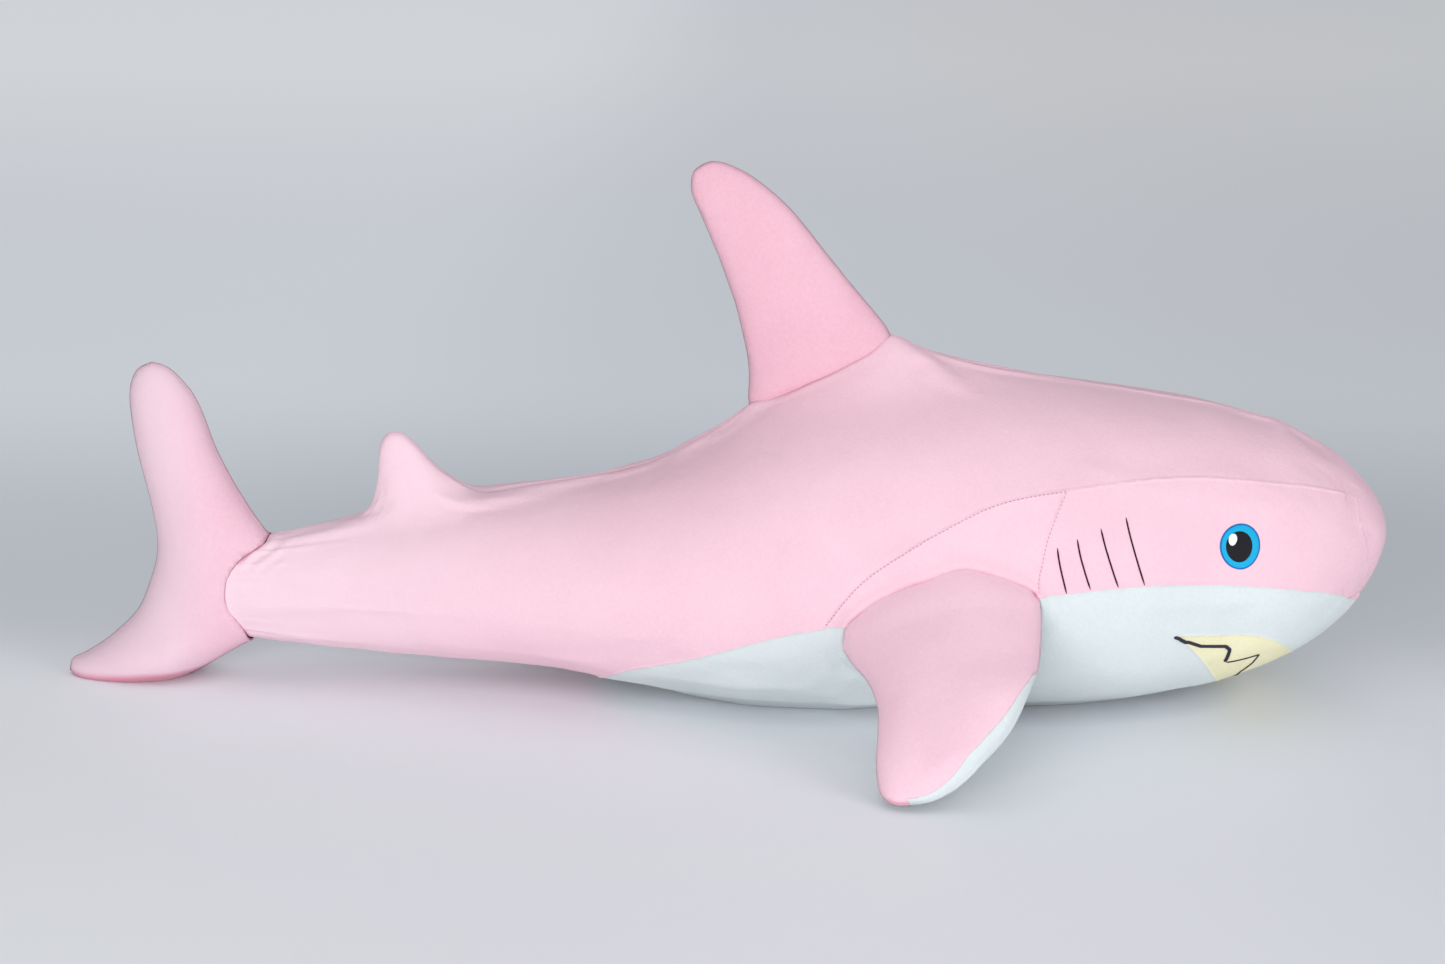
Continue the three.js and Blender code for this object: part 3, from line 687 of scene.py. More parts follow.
def body_grid():
    """Rows of points over the body's left half, from the tail end to the nose."""
    rows = body_rows()
    grid = np.empty((len(rows), COLUMNS + CREST, 3))
    angles = np.linspace(-np.pi / 2, np.pi / 2, 900)
    for i, row in enumerate(rows):
        y, z = on_body(row, angles)
        y[[0, -1]] = 0
        edge = min(46, 0.6 * half_width_of(row))
        split = np.flatnonzero((angles > 0) & (y < edge))[0]
        line = np.stack([y, z], 1)
        crest = line[split:]
        top = crest[-1, 1]
        has_fin = SMALL_FIN_FROM < row < SMALL_FIN_TO
        flank = resampled(line[: split + 1], COLUMNS + 1)[:-1]
        crest = resampled(small_fin_crest(row, crest) if has_fin else crest, CREST)
        section = np.vstack([flank, crest])
        grid[i, :, 1:] = section
        grid[i, :, 0] = row - SMALL_FIN_LEAN * np.maximum(section[:, 1] - top, 0) * has_fin
    # A fillet where the small fin meets the back: all but its tip is smoothed.
    near = np.flatnonzero((rows > SMALL_FIN_FROM + 6) & (rows < SMALL_FIN_TO - 4))
    around = slice(near[0] - 1, near[-1] + 2)
    first = COLUMNS - FILLET_COLUMNS
    tip = 1 - 0.93 * smoothstep(grid[near, first:, 2:], 148, 172)
    for _ in range(FILLET_STEPS):
        block = grid[around, first:]
        mirrored = block[:, -2:-1] * (1, -1, 1)
        wide = np.concatenate([grid[around, first - 1 : first], block, mirrored], 1)
        mean = (wide[2:, 1:-1] + wide[:-2, 1:-1] + wide[1:-1, 2:] + wide[1:-1, :-2]) / 4
        grid[near, first:] += 0.6 * tip * (mean - grid[near, first:])
    grid[:, [0, -1], 1] = 0
    grid[..., 0] += TAIL_SEAM_X
    return grid


def on_floor(z, softness=3.0):
    """Heights pressed flat on the floor, with a soft turn."""
    turned = 0.5 * (z + np.sqrt(z * z + softness**2))
    return turned - 0.5 * softness * np.exp(-np.abs(z) / softness)


def pattern_place(points):
    return np.stack([points[:, 0] - TAIL_SEAM_X, points[:, 2]], 1)


def filled_out(grid, step=4):
    """The body's left half as its filling pushes it out between the seams."""
    rows, columns = grid.shape[:2]
    keep_rows = np.unique(np.r_[np.arange(0, rows, step), rows - 1])
    keep_columns = np.unique(np.r_[np.arange(0, columns, step), columns - 1])
    coarse = grid[np.ix_(keep_rows, keep_columns)]
    points = coarse.reshape(-1, 3)
    tris = grid_triangles(len(keep_rows), len(keep_columns))
    normals = normals_of(points, tris)
    place = pattern_place(points)
    held = (np.abs(points[:, 1]) < 1) | (points[:, 2] < 1)
    held |= (place[:, 0] < 20) | (place[:, 0] > 884)
    for outline in (BELLY, SIDE_PANELS, BEHIND_TAIL_SEAM):
        held |= np.abs(inside_distance(place, outline)) < 5
    push = pushed_out(points, tris, normals, held).reshape(coarse.shape[:2])
    wide = np.stack([np.interp(np.arange(columns), keep_columns, row) for row in push])
    full = np.stack([np.interp(np.arange(rows), keep_rows, column) for column in wide.T], 1)
    for _ in range(4):
        padded = np.pad(full, 1, mode="edge")
        full = (
            4 * full + padded[2:, 1:-1] + padded[:-2, 1:-1] + padded[1:-1, 2:] + padded[1:-1, :-2]
        ) / 8
    outward = normals_of(grid.reshape(-1, 3), grid_triangles(rows, columns)).reshape(grid.shape)
    outward[:, [0, -1], 1] = 0
    return grid + outward * full[..., None]


def half_body():
    """The left half of the body's skin: points, triangles and each triangle's panel."""
    grid = filled_out(body_grid())
    grid[..., 2] = on_floor(grid[..., 2])
    rows, columns = grid.shape[:2]
    points = grid.reshape(-1, 3)
    tris = grid_triangles(rows, columns)
    nose = len(points)
    last = (rows - 1) * columns + np.arange(columns)
    points = np.vstack([points, [(TAIL_SEAM_X + 893.1, 0, 133)]])
    tris = np.vstack([tris, np.stack([last[:-1], np.full(columns - 1, nose), last[1:]], 1)])
    group = np.full(len(tris), BACK)
    for which, outline, inner in (
        (BACK, BEHIND_TAIL_SEAM, CUT_OFF),
        (BACK, BELLY, UNDERSIDE),
        (BACK, SIDE_PANELS, SHOULDER),
        (SHOULDER, HEAD_SIDE, HEAD),
        (UNDERSIDE, MOUTH_PATCH, MOUTH),
    ):
        points, tris, group = cut(points, tris, group, which, outline, inner, pattern_place)
    kept = group != CUT_OFF
    tris, group = tris[kept], group[kept]
    kept = np.linalg.norm(doubled_areas(points, tris), axis=1) > 1e-6
    tris, group = tris[kept], group[kept]
    tris, points = compact(tris, points)
    return points, tris, group


def seams_of(points, tris, group):
    """The edges on seams between panels, around the tail end, and along the spine."""
    ends, pair = edges_of(tris)
    between = (pair[:, 1] >= 0) & (group[pair[:, 0]] != group[pair[:, 1]])
    patch = between & ((group[pair[:, 0]] == MOUTH) | (group[pair[:, 1]] == MOUTH))
    loose = pair[:, 1] < 0
    centre = loose & (np.abs(points[ends][:, :, 1]).max(1) < 1e-6)
    spine = centre & (group[pair[:, 0]] == BACK)
    tail_end = loose & ~centre
    return ends[between & ~patch], ends[patch], ends[spine], ends[tail_end]


# ---------------------------------------------------------------- inflated fins


def inflated(plane, tris, held, value=0.0):
    """How high a flat sheet stands when blown up like a pillow.

    Half the height squared solves Poisson's equation, with its value given where it is held.
    """
    i, j, k = tris.T
    rows, columns, weights = [], [], []
    area = np.zeros(len(plane))
    for a, b, c in ((i, j, k), (j, k, i), (k, i, j)):
        u, v = plane[a] - plane[c], plane[b] - plane[c]
        twice = np.abs(u[:, 0] * v[:, 1] - u[:, 1] * v[:, 0]) + 1e-9
        weight = 0.5 * (u * v).sum(1) / twice
        rows += [a, b]
        columns += [b, a]
        weights += [weight, weight]
        np.add.at(area, a, twice / 6)
    rows, columns, weights = map(np.concatenate, (rows, columns, weights))
    count = len(plane)
    diagonal = np.bincount(rows, weights, count)
    free = ~held

    def applied(x):
        return diagonal * x - np.bincount(rows, weights * x[columns], count)

    x = np.where(held, value, 0.0)
    residual = np.where(free, area - applied(x), 0)
    scale = np.maximum(diagonal, 1e-6)
    step = residual / scale
    direction = step.copy()
    product = residual @ step
    for _ in range(900):
        pushed = np.where(free, applied(direction), 0)
        length = product / (direction @ pushed)
        x += length * direction
        residual -= length * pushed
        step = residual / scale
        previous, product = product, residual @ step
        if product < 1e-12 * count:
            break
        direction = step + product / previous * direction
    return np.sqrt(2 * np.maximum(x, 0))


def fin_grid(leading, trailing, knots, columns):
    """A flat mesh between a fin's two edges, closer together towards them."""
    lead, trail = spline(leading)(knots), spline(trailing)(knots)
    s = 0.5 - 0.5 * np.cos(np.pi * np.arange(columns + 1) / columns)
    return lead[:, None] * (1 - s)[None, :, None] + trail[:, None] * s[None, :, None]


def eased_knots(first, last, count, ends=1):
    """Knot numbers closer together towards the last one, or towards both ends."""
    t = np.linspace(0, 1, count)
    t = 0.5 - 0.5 * np.cos(np.pi * t) if ends == 2 else np.sin(np.pi / 2 * t)
    return first + (last - first) * t


def shares(points, width, height):
    return [(u * width, v * height) for u, v in points]


def covers(plane, tris, height, to_frame, seed, sewn_in, band):
    """The two covers of a fin, one on each face of its middle plane."""
    made = []
    for side in (1, -1):
        points = to_frame(plane, side * height)
        facing = tris if side > 0 else tris[:, ::-1]
        normals = normals_of(points, facing)
        outward = to_frame(plane, side * (height + 1)) - to_frame(plane, side * height)
        if np.sum(normals * outward) < 0:
            facing = facing[:, ::-1]
            normals = -normals
        made.append((points, normals, facing))
    rim = height <= 1e-6
    both = [np.vstack([cover[k] for cover in made]) for k in (0, 1)]
    faces = np.vstack([made[0][2], made[1][2] + len(plane)])
    push = pushed_out(both[0], faces, both[1], np.tile(rim | sewn_in, 2)).reshape(2, -1)
    # Along the shared edge both covers take the same normal, outward in the fin's plane.
    shared = unit(made[0][1][rim] + made[1][1][rim])
    for (points, normals, _), moved in zip(made, push):
        points += normals * moved[:, None]
        normals[rim] = shared
        points += normals * fin_relief(points, seed)[:, None]
    if band is None:
        return made
    # The under cover also takes the top cover's band, joined to it along the rim.
    (top, up, top_facing), (under, down, under_facing) = made
    index = np.arange(len(top)) + len(under)
    index[rim] = np.flatnonzero(rim)
    joined = np.vstack([under_facing, index[top_facing[band]]])
    return [
        (top, up, top_facing[~band]),
        (np.vstack([under, top]), np.vstack([down, up]), joined),
    ]


# ---------------------------------------------------------------- cloth
INSET = 1.2  # how far inside its place the skin starts
CLOTH_CAP = 2.5  # the simulated movement is eased off to stay below this
PRESSURE, CLOTH_FRAMES, CLOTH_QUALITY = 4, 20, 5


def pushed_out(points, tris, normals, sewn_down):
    """How far the filling's pressure pushes a skin outward, by cloth simulation.

    The skin starts a little inside its place and is held where it is sewn down.
    """
    start = points - normals * (INSET * ~sewn_down)[:, None]
    piece = build("cloth_form", start, tris, PINK)
    sewn = piece.vertex_groups.new(name="sewn")
    sewn.add(np.flatnonzero(sewn_down).tolist(), 1.0, "REPLACE")
    cloth = piece.modifiers.new("cloth", "CLOTH")
    cloth.settings.quality = CLOTH_QUALITY
    cloth.settings.use_pressure = True
    cloth.settings.uniform_pressure_force = PRESSURE
    cloth.settings.vertex_group_mass = "sewn"
    cloth.settings.effector_weights.gravity = 0
    cloth.point_cache.frame_end = CLOTH_FRAMES
    for number in range(1, CLOTH_FRAMES + 1):
        bpy.context.scene.frame_set(number)
    settled = piece.evaluated_get(bpy.context.evaluated_depsgraph_get())
    places = np.empty(3 * len(points))
    settled.data.vertices.foreach_get("co", places)
    push = ((places.reshape(-1, 3) / MM - start) * normals).sum(1)
    bpy.data.objects.remove(piece)
    bpy.context.scene.frame_set(1)
    capped = CLOTH_CAP * np.tanh(np.nan_to_num(push) / CLOTH_CAP)
    return np.where(sewn_down, 0, capped - INSET)


pieces = {}

# ---------------------------------------------------------------- fin pieces


def fin_relief(points, seed):
    """Soft waves over a fin's fabric, and smaller ones over them."""
    return 0.5 * rumpled(points, 45, seed) + 0.1 * rumpled(points, 14, seed + 5)


fins = []


def add_fin(
    names, plane, tris, height, to_frame, seed, materials, nodes, slots, bodies, start, end,
    band=None,
):
    """Shapes a fin's two covers, and keeps them for finish_fins."""
    sewn_in = rim_of(tris, len(plane))
    if bodies[1] != "tail_fin":
        sewn_in |= plane[:, 1] < 3
    made = covers(plane, tris, height, to_frame, seed, sewn_in, band)
    fins.append((names, made, materials, nodes, slots, bodies, start, end))


def finish_fins():
    """Pinches each fin where it is sewn to the body, and makes its covers."""
    for names, made, materials, nodes, slots, bodies, start, end in fins:
        for k, (points, normals, facing) in enumerate(made):
            points = points.copy()
            if bodies[1] != "tail_fin":
                gap = np.full(len(points), 99.0)
                for tree in body_trees.values():
                    for i, p in enumerate(points.tolist()):
                        found = tree.find_nearest(p, 14)
                        if found[0] is not None:
                            gap[i] = min(gap[i], found[3])
                points -= normals * (1.3 * valley(gap, 2.2) + 0.8 * valley(gap, 7))[:, None]
            points[:, 2] = np.maximum(points[:, 2], 0.3)
            piece = sewn_panel(f"{names[k]}_cloth", points, normals, facing, materials[k])
            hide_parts(*nodes[k])
            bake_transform(piece)
            pieces[names[k]] = piece


# How high each fin's unscaled pillow stands, by which its thickness is scaled.
DORSAL_RISE, PECTORAL_RISE, TAIL_RISE = 56, 62, 33
BLUNTNESS = 0.8  # below 1, the dorsal and pectoral fins stay full towards their rims

# Dorsal fin.
DORSAL_LENGTH, DORSAL_HEIGHT, DORSAL_THICKNESS = 121, 180, 19
dorsal_leading = shares(
    [(1.04, -0.1), (1.02, 0.03), (0.95, 0.25), (0.87, 0.51), (0.80, 0.72), (0.70, 0.88),
     (0.60, 0.975), (0.525, 1.015), (0.46, 1.025)],
    DORSAL_LENGTH, DORSAL_HEIGHT,
)
dorsal_trailing = shares(
    [(-0.04, -0.1), (0, 0.03), (0.14, 0.2), (0.23, 0.42), (0.275, 0.62), (0.305, 0.83),
     (0.32, 0.94), (0.38, 1.01), (0.46, 1.025)],
    DORSAL_LENGTH, DORSAL_HEIGHT,
)
hinge = HINGES["dorsal_fin_bend"]
dorsal_at = np.array(hinge["pos_m"]) / MM
dorsal_forward = unit(np.array(hinge["axis"], float))
dorsal_up = np.array((-dorsal_forward[2], 0, dorsal_forward[0]))


def on_dorsal(plane, height):
    return (
        dorsal_at
        + plane[:, :1] * dorsal_forward
        + plane[:, 1:] * dorsal_up
        + np.outer(height, (0, -1, 0))
    )


def dorsal_pillow():
    """The dorsal fin's flat mesh and the height of its covers over it."""
    knots = eased_knots(0, len(dorsal_leading) - 1.0005, 80)
    grid = fin_grid(dorsal_leading, dorsal_trailing, knots, 44)
    plane = grid.reshape(-1, 2)
    tris = grid_triangles(*grid.shape[:2])
    edge = np.zeros(grid.shape[:2], bool)
    edge[:, [0, -1]] = True
    edge[-1] = True
    rise = inflated(plane, tris, edge.ravel())
    return plane, tris, DORSAL_THICKNESS * (rise / DORSAL_RISE) ** BLUNTNESS


plane, fin_tris, height = dorsal_pillow()
add_fin(
    ("dorsal_fin_cover_right", "dorsal_fin_cover_left"), plane, fin_tris, height, on_dorsal, 41,
    (FIN_PINK, FIN_PINK),
    (("dorsal_fin_cover_right", "dorsal_fin_filling"), ("dorsal_fin_cover_left",)),
    ("pink_fabric", "pink_fabric"), ("body", "dorsal_fin"),
    Vector(dorsal_at * MM), Vector((dorsal_at + 38 * dorsal_up) * MM),
)

# Pectoral fins.
CHORD, REACH, PECTORAL_THICKNESS = 143, 145, 27
pectoral_leading = shares(
    [(0.53, -0.2), (0.49, 0.06), (0.455, 0.24), (0.41, 0.42), (0.33, 0.59), (0.21, 0.76),
     (0.02, 0.905), (-0.18, 0.985), (-0.31, 0.99)],
    CHORD, REACH,
)
pectoral_trailing = shares(
    [(-0.60, -0.2), (-0.5, 0.06), (-0.42, 0.24), (-0.39, 0.42), (-0.41, 0.59), (-0.44, 0.76),
     (-0.44, 0.9), (-0.39, 0.97), (-0.31, 0.99)],
    CHORD, REACH,
)
grid = fin_grid(
    pectoral_leading, pectoral_trailing, eased_knots(0, len(pectoral_leading) - 1.0005, 76), 48
)
front = np.broadcast_to(0.5 + 0.5 * np.cos(np.pi * np.arange(49) / 48), grid.shape[:2])
sheet = np.dstack([grid, front]).reshape(-1, 3)
# The white under cover is turned over the outer half of the leading edge.
EDGE_BAND = 6.5
edge = spline(pectoral_leading)(np.linspace(0, len(pectoral_leading) - 1.0005, 60))
turned_over = EDGE_BAND * smoothstep(edge[:, 1] / REACH, 0.4, 0.85)
turned_over = turned_over * (1 - 0.6 * smoothstep(edge[:, 1] / REACH, 0.86, 0.99))
slant = unit(np.array((1.0, 0.75)))
outline = np.vstack([edge - turned_over[:, None] * slant, (edge + 40 * slant)[::-1]])
fin_tris = grid_triangles(*grid.shape[:2])
sheet, fin_tris, band = cut(
    sheet, fin_tris, np.zeros(len(fin_tris), int), 0, outline, 1, lambda p: p[:, :2]
)
plane, front_share = sheet[:, :2], sheet[:, 2:]
held = rim_of(fin_tris, len(plane)) & (plane[:, 1] > -0.195 * REACH)
rise = inflated(plane, fin_tris, held)
height = PECTORAL_THICKNESS * (rise / PECTORAL_RISE) ** BLUNTNESS
for side_name, side in SIDES.items():
    hinge = HINGES[f"pectoral_fin_{side_name}_lift"]
    mirror = np.array((1, side, 1))
    root = np.array(hinge["pos_m"]) / MM * mirror - (0, 0, 14)
    pitch, droop = math.radians(12), math.radians(36)
    chordwise = np.array((math.cos(pitch), 0, math.sin(pitch)))
    outward = np.array((0.13, math.cos(droop), -math.sin(droop)))
    outward = unit(outward - (outward @ chordwise) * chordwise)
    lift = np.cross(chordwise, outward)

    def on_pectoral(plane, height, root=root, lift=lift, mirror=mirror, outward=outward):
        spread = np.clip(plane[:, 1:] / REACH, 0, 1)
        root_share = np.exp(-((spread / 0.42) ** 2))
        sag = 5 * np.sin(np.pi * spread) - 10.5 * root_share + 0.08 * plane[:, :1] * root_share
        white_edge = 9 * smoothstep(spread, 0.3, 0.6) * smoothstep(front_share, 0.3, 1.0)
        white_edge = white_edge * (1 - smoothstep(spread, 0.85, 0.98))
        fuller = 1 + (0.34 - 0.4 * smoothstep(front_share, 0.62, 1.0)) * root_share
        bent = np.asarray(height)[:, None] * fuller + sag + white_edge
        return (root + plane[:, :1] * chordwise + plane[:, 1:] * outward + bent * lift) * mirror

    start = (root + 6 * outward) * mirror
    end = (root + 46 * outward) * mirror
    add_fin(
        (f"pectoral_fin_top_cover_{side_name}", f"pectoral_fin_under_cover_{side_name}"),
        plane, fin_tris, height, on_pectoral, 51 + side, (PINK, WHITE),
        (
            (f"pectoral_fin_top_cover_{side_name}", f"pectoral_fin_filling_{side_name}"),
            (f"pectoral_fin_under_cover_{side_name}",),
        ),
        ("pink_fabric", "white_fabric"), ("body", f"pectoral_fin_{side_name}"),
        Vector(start * MM), Vector(end * MM), band == 1,
    )

# Tail fin: rows run from the upper lobe's tip to the lower lobe's tip.
TAIL_REACH, TAIL_HEIGHT, TAIL_THICKNESS = 122, 248, 23
tail_leading = shares(
    [(-0.35, 1.015), (-0.255, 1.0), (-0.16, 0.955), (-0.07, 0.885), (0.045, 0.72),
     (0.2, 0.565), (0.42, 0.375), (0.40, 0.18), (0.13, 0.105), (-0.22, 0.005), (-0.55, -0.045),
     (-0.86, -0.055), (-1.01, 0.01)],
    TAIL_REACH, TAIL_HEIGHT,
)
tail_trailing = shares(
    [(-0.35, 1.015), (-0.455, 0.985), (-0.505, 0.9), (-0.475, 0.73), (-0.43, 0.61),
     (-0.39, 0.485), (-0.395, 0.4), (-0.44, 0.325), (-0.53, 0.225), (-0.7, 0.14), (-0.87, 0.08),
     (-0.985, 0.05), (-1.01, 0.01)],
    TAIL_REACH, TAIL_HEIGHT,
)


def tail_pillow():
    """The tail fin's flat mesh, cut along its seam, and the height of its covers over it."""
    knots = eased_knots(0.0005, len(tail_leading) - 1.0005, 130, ends=2)
    grid = fin_grid(tail_leading, tail_trailing, knots, 46)
    plane = grid.reshape(-1, 2)
    tris = grid_triangles(*grid.shape[:2])
    group = np.zeros(len(tris), int)
    plane, tris, group = cut(
        plane, tris, group, 0, BEHIND_TAIL_SEAM, 1, lambda p: p, tolerance=0.15
    )
    tris, plane = compact(tris[group == 1], plane)
    held = rim_of(tris, len(plane))
    at_seam = held & (np.abs(inside_distance(plane, BEHIND_TAIL_SEAM)) < 0.2)
    # The opening is as wide as the body's end, from the seam's lower corner to its upper one.
    level = plane[at_seam, 1]
    share = (level - level.min()) / (level.max() - level.min())
    along = plane[at_seam, 0]
    low, high = underside_of(along), top_of(along)
    opening = half_width_at(along, low + share * (high - low))
    value = np.zeros(len(plane))
    scale = TAIL_THICKNESS / TAIL_RISE
    value[at_seam] = (opening / scale) ** 2 / 2
    rise = inflated(plane, tris, held, value)
    low_lobe = 1 + 0.45 * smoothstep(-plane[:, 1], -55, -10) * smoothstep(-plane[:, 0], 0, 40)
    return plane, tris, rise * scale * low_lobe


def on_tail(plane, height):
    return np.stack([plane[:, 0] + TAIL_SEAM_X, -height, plane[:, 1]], 1)


plane, fin_tris, height = tail_pillow()
hinge_x = HINGES["tail_fin_swing"]["pos_m"][0]
add_fin(
    ("tail_fin_cover_right", "tail_fin_cover_left"), plane, fin_tris, height, on_tail, 61,
    (TAIL_PINK, TAIL_PINK),
    (("tail_fin_cover_right", "tail_fin_filling"), ("tail_fin_cover_left",)),
    ("pink_fabric", "pink_fabric"), ("body", "tail_fin"),
    (hinge_x - 0.006, 0, 0.08), (hinge_x - 0.055, 0, 0.08),
)

# ---------------------------------------------------------------- body pieces
points, tris, group = half_body()
for reach in (7.0, 3.0):
    sewn, patch, spine, tail_end = seams_of(points, tris, group)
    lines = along_edges(points, np.vstack([sewn, patch, spine, tail_end]))
    close = nearest_distance(points, lines) < reach
    points, tris, group = refined(points, tris, group, close[tris].any(1))
sewn, patch, spine, tail_end = seams_of(points, tris, group)
smooth_normals = normals_of(points, tris)
on_centre = np.abs(points[:, 1]) < 1e-6
smooth_normals[on_centre, 1] = 0
smooth_normals = unit(smooth_normals)
to_sewn, to_patch, to_spine, to_tail = (
    nearest_distance(points, along_edges(points, edges)) for edges in (sewn, patch, spine, tail_end)
)


def valley(distance, width):
    return np.exp(-((distance / width) ** 2))


def to_fins(points, kind):
    """Distance from each point to the nearest fin of a kind, sewn on top of the body's skin."""
    gap = np.full(len(points), 99.0)
    for names, made, *_ in fins:
        if kind not in names[0]:
            continue
        for p, _, facing in made:
            tree = BVHTree.FromPolygons(p.tolist(), facing.tolist())
            low, high = p.min(0) - 22, p.max(0) + 22
            for i in np.flatnonzero(((points > low) & (points < high)).all(1)):
                found = tree.find_nearest(points[i].tolist(), 20)
                if found[0] is not None:
                    gap[i] = min(gap[i], found[3])
    return gap


def body_relief(points, side):
    """How far the skin stands in or out: sunk seams, puckers beside them and soft waves."""
    pucker = rumpled(points, 7, 3 + side)
    wave = rumpled(points * (1, 1, 1.4), 70, 11 + side)
    small = rumpled(points, 24, 17 + side)
    relief = 1.0 + 0.9 * wave + 0.22 * small
    plain = 1 - 0.75 * (points[:, 0] > TAIL_SEAM_X + 850) * (points[:, 2] > 92)
    relief -= plain * ((0.7 + 0.3 * pucker) * valley(to_sewn, 1.2) + 0.8 * valley(to_sewn, 8))
    relief -= 0.5 * valley(to_patch, 1.2)
    relief -= 0.35 * valley(to_spine, 1.5) + 0.3 * valley(to_spine, 7)
    relief -= (0.5 + 0.3 * pucker) * valley(to_tail, 1.2) + 0.5 * valley(to_tail, 5)
    # Puckers where the tail end is gathered, strongest on top.
    along, height = pattern_place(points).T
    turn = np.sin((along * 0.75 - height * 0.9) / 1.55 + 1.5 * small)
    gathered = np.exp(-(((along - 38) / 16) ** 2)) * smoothstep(height, 88, 106)
    relief += 1.0 * turn * gathered * (along < 75)
    # The skin rolls up to a fin's root and dips in at its seam.
    gap = to_fins(points, "pectoral")
    relief += 1.7 * valley(gap - 8, 4.5) - 1.8 * valley(gap, 2.6)
    relief -= 0.8 * valley(to_fins(points, "dorsal"), 2.6)
    flat = 1 - smoothstep(points[:, 2], 0.0, 9.0)
    return relief * (1 - 0.8 * flat)


halves = {}
for side_name, side in SIDES.items():
    mirror = np.array((1, side, 1))
    p, n = points * mirror, smooth_normals * mirror
    p = p + n * body_relief(p, side)[:, None]
    p[:, 2] = np.maximum(p[:, 2], 0.05)
    p[on_centre, 1] = 0
    facing = tris if side > 0 else tris[:, ::-1]
    n = normals_of(p, facing)
    n[on_centre, 1] = 0
    n = unit(n)
    if (n * p)[:, 1].sum() < 0:
        facing, n = facing[:, ::-1], -n
    halves[side_name] = (p, n, facing)

# The centre line is shared, so it takes the mean of both sides.
for k in (0, 1):
    left, right = halves["left"][k], halves["right"][k]
    mean = (left[on_centre] + right[on_centre]) / 2
    mean[:, 1] = 0
    if k == 1:
        mean = unit(mean)
    left[on_centre] = mean
    right[on_centre] = mean

body_trees = {
    side: BVHTree.FromPolygons(p.tolist(), f.tolist()) for side, (p, n, f) in halves.items()
}


def centre_panel(name, which, material):
    """A panel that crosses the centre line, from both halves, joined along it."""
    left, right = halves["left"], halves["right"]
    count = len(left[0])
    p = np.vstack([left[0], right[0]])
    n = np.vstack([left[1], right[1]])
    other = np.arange(count) + count
    other[on_centre] = np.flatnonzero(on_centre)
    facing = np.vstack([left[2][group == which], other[right[2][group == which]]])
    return sewn_panel(name, p, n, facing, material)


finish_fins()
for side_name in SIDES:
    p, n, facing = halves[side_name]
    for label, which in (
        ("back_panel", BACK), ("head_side_panel", HEAD), ("shoulder_panel", SHOULDER)
    ):
        name = f"{label}_{side_name}"
        piece = sewn_panel(f"{name}_cloth", p, n, facing[group == which], PINK)
        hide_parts(name)
        pieces[name] = piece
for name, which, material, nodes, slot in (
    ("belly_panel", UNDERSIDE, WHITE, ("belly_panel", "body_filling"), "white_fabric"),
    ("mouth_panel", MOUTH, CREAM, ("mouth_panel",), "cream_fabric"),
):
    piece = centre_panel(f"{name}_cloth", which, material)
    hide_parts(*nodes)
    pieces[name] = piece
for name, piece in pieces.items():
    if "panel" in name:
        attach(piece, "body")

# ---------------------------------------------------------------- embroidery


def on_skin(along, height, side_name, lift=0.0, y=None):
    """The point of the sewn skin seen at a place of the side view, and its normal."""
    side = SIDES[side_name]
    out = half_width_at(along, height) if y is None else y
    guess = Vector((TAIL_SEAM_X + along, side * float(out), height))
    place, normal, _, _ = body_trees[side_name].find_nearest(guess)
    normal = Vector(normal)
    if normal.dot(Vector((0, side, 0))) < 0 and abs(normal.y) > 0.05:
        normal = -normal
    return np.array(place + normal * lift), np.array(normal)


def add_embroidery(piece, node):
    """Hides the CAD node that a stitched piece stands for, if any; the piece rides on the body."""
    if node:
        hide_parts(node)
    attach(piece, "body")


def tube_faces(rings, sides, first=0):
    """The faces of a tube closed at both ends, whose points run ring by ring."""
    faces = []
    for i in range(rings - 1):
        near, far = first + i * sides, first + (i + 1) * sides
        for j in range(sides):
            k = (j + 1) % sides
            faces.append((near + j, near + k, far + k, far + j))
    faces.append(tuple(first + j for j in range(sides - 1, -1, -1)))
    faces.append(tuple(first + (rings - 1) * sides + j for j in range(sides)))
    return faces


def skin_route(line, side_name, lift, step=1.2):
    """Places on the skin along a line of the side view, the normals there, and the reach."""
    line = np.array(line, float)
    reach = travelled(line)
    found = [
        on_skin(*at_reach(where, reach, line), side_name, lift)
        for where in np.linspace(0, reach[-1], max(3, int(reach[-1] / step)))
    ]
    places, normals = (np.array([entry[k] for entry in found]) for k in (0, 1))
    return places, normals, travelled(places)


THREAD_STEP, THREAD_SIDES = 0.35, 10  # between the rings of a stitched line, and round each


def stitched_line(name, route, width, thickness, material, ends=1.5):
    """A satin-stitched line over the skin, tapered over its ends."""
    places, normals, reach = route
    count = max(8, int(reach[-1] / THREAD_STEP))
    where = np.linspace(0, reach[-1], count)
    path = at_reach(where, reach, places)
    up = unit(at_reach(where, reach, normals))
    forward = unit(np.gradient(path, axis=0))
    across = unit(np.cross(up, forward))
    angle = 2 * np.pi * np.arange(THREAD_SIDES) / THREAD_SIDES
    taper = np.sqrt(np.clip(np.minimum(where, reach[-1] - where) / ends, 0.02, 1))
    ridge = 1 + 0.16 * (np.arange(count) % 2)
    points = (
        path[:, None]
        + np.cos(angle)[None, :, None] * across[:, None] * (width / 2 * taper)[:, None, None]
        + np.sin(angle)[None, :, None] * up[:, None] * (thickness * taper * ridge)[:, None, None]
    ).reshape(-1, 3)
    return build(name, points, tube_faces(count, THREAD_SIDES), material)


GILLS = [
    [(633, 151), (635, 139), (640, 118)],
    [(647, 157), (650, 143), (657, 121)],
    [(664, 164), (668, 149), (677, 122)],
    [(682, 171), (686, 155), (696, 123)],
]
for side_name in SIDES:
    for number, line in enumerate(GILLS, 1):
        name = f"gill_stitch_{side_name}_{number}"
        route = skin_route(smooth_line(line, 10), side_name, 0.1)
        piece = stitched_line(f"{name}_thread", route, 1.15, 0.6, PLUM_THREAD, ends=4)
        add_embroidery(piece, name)

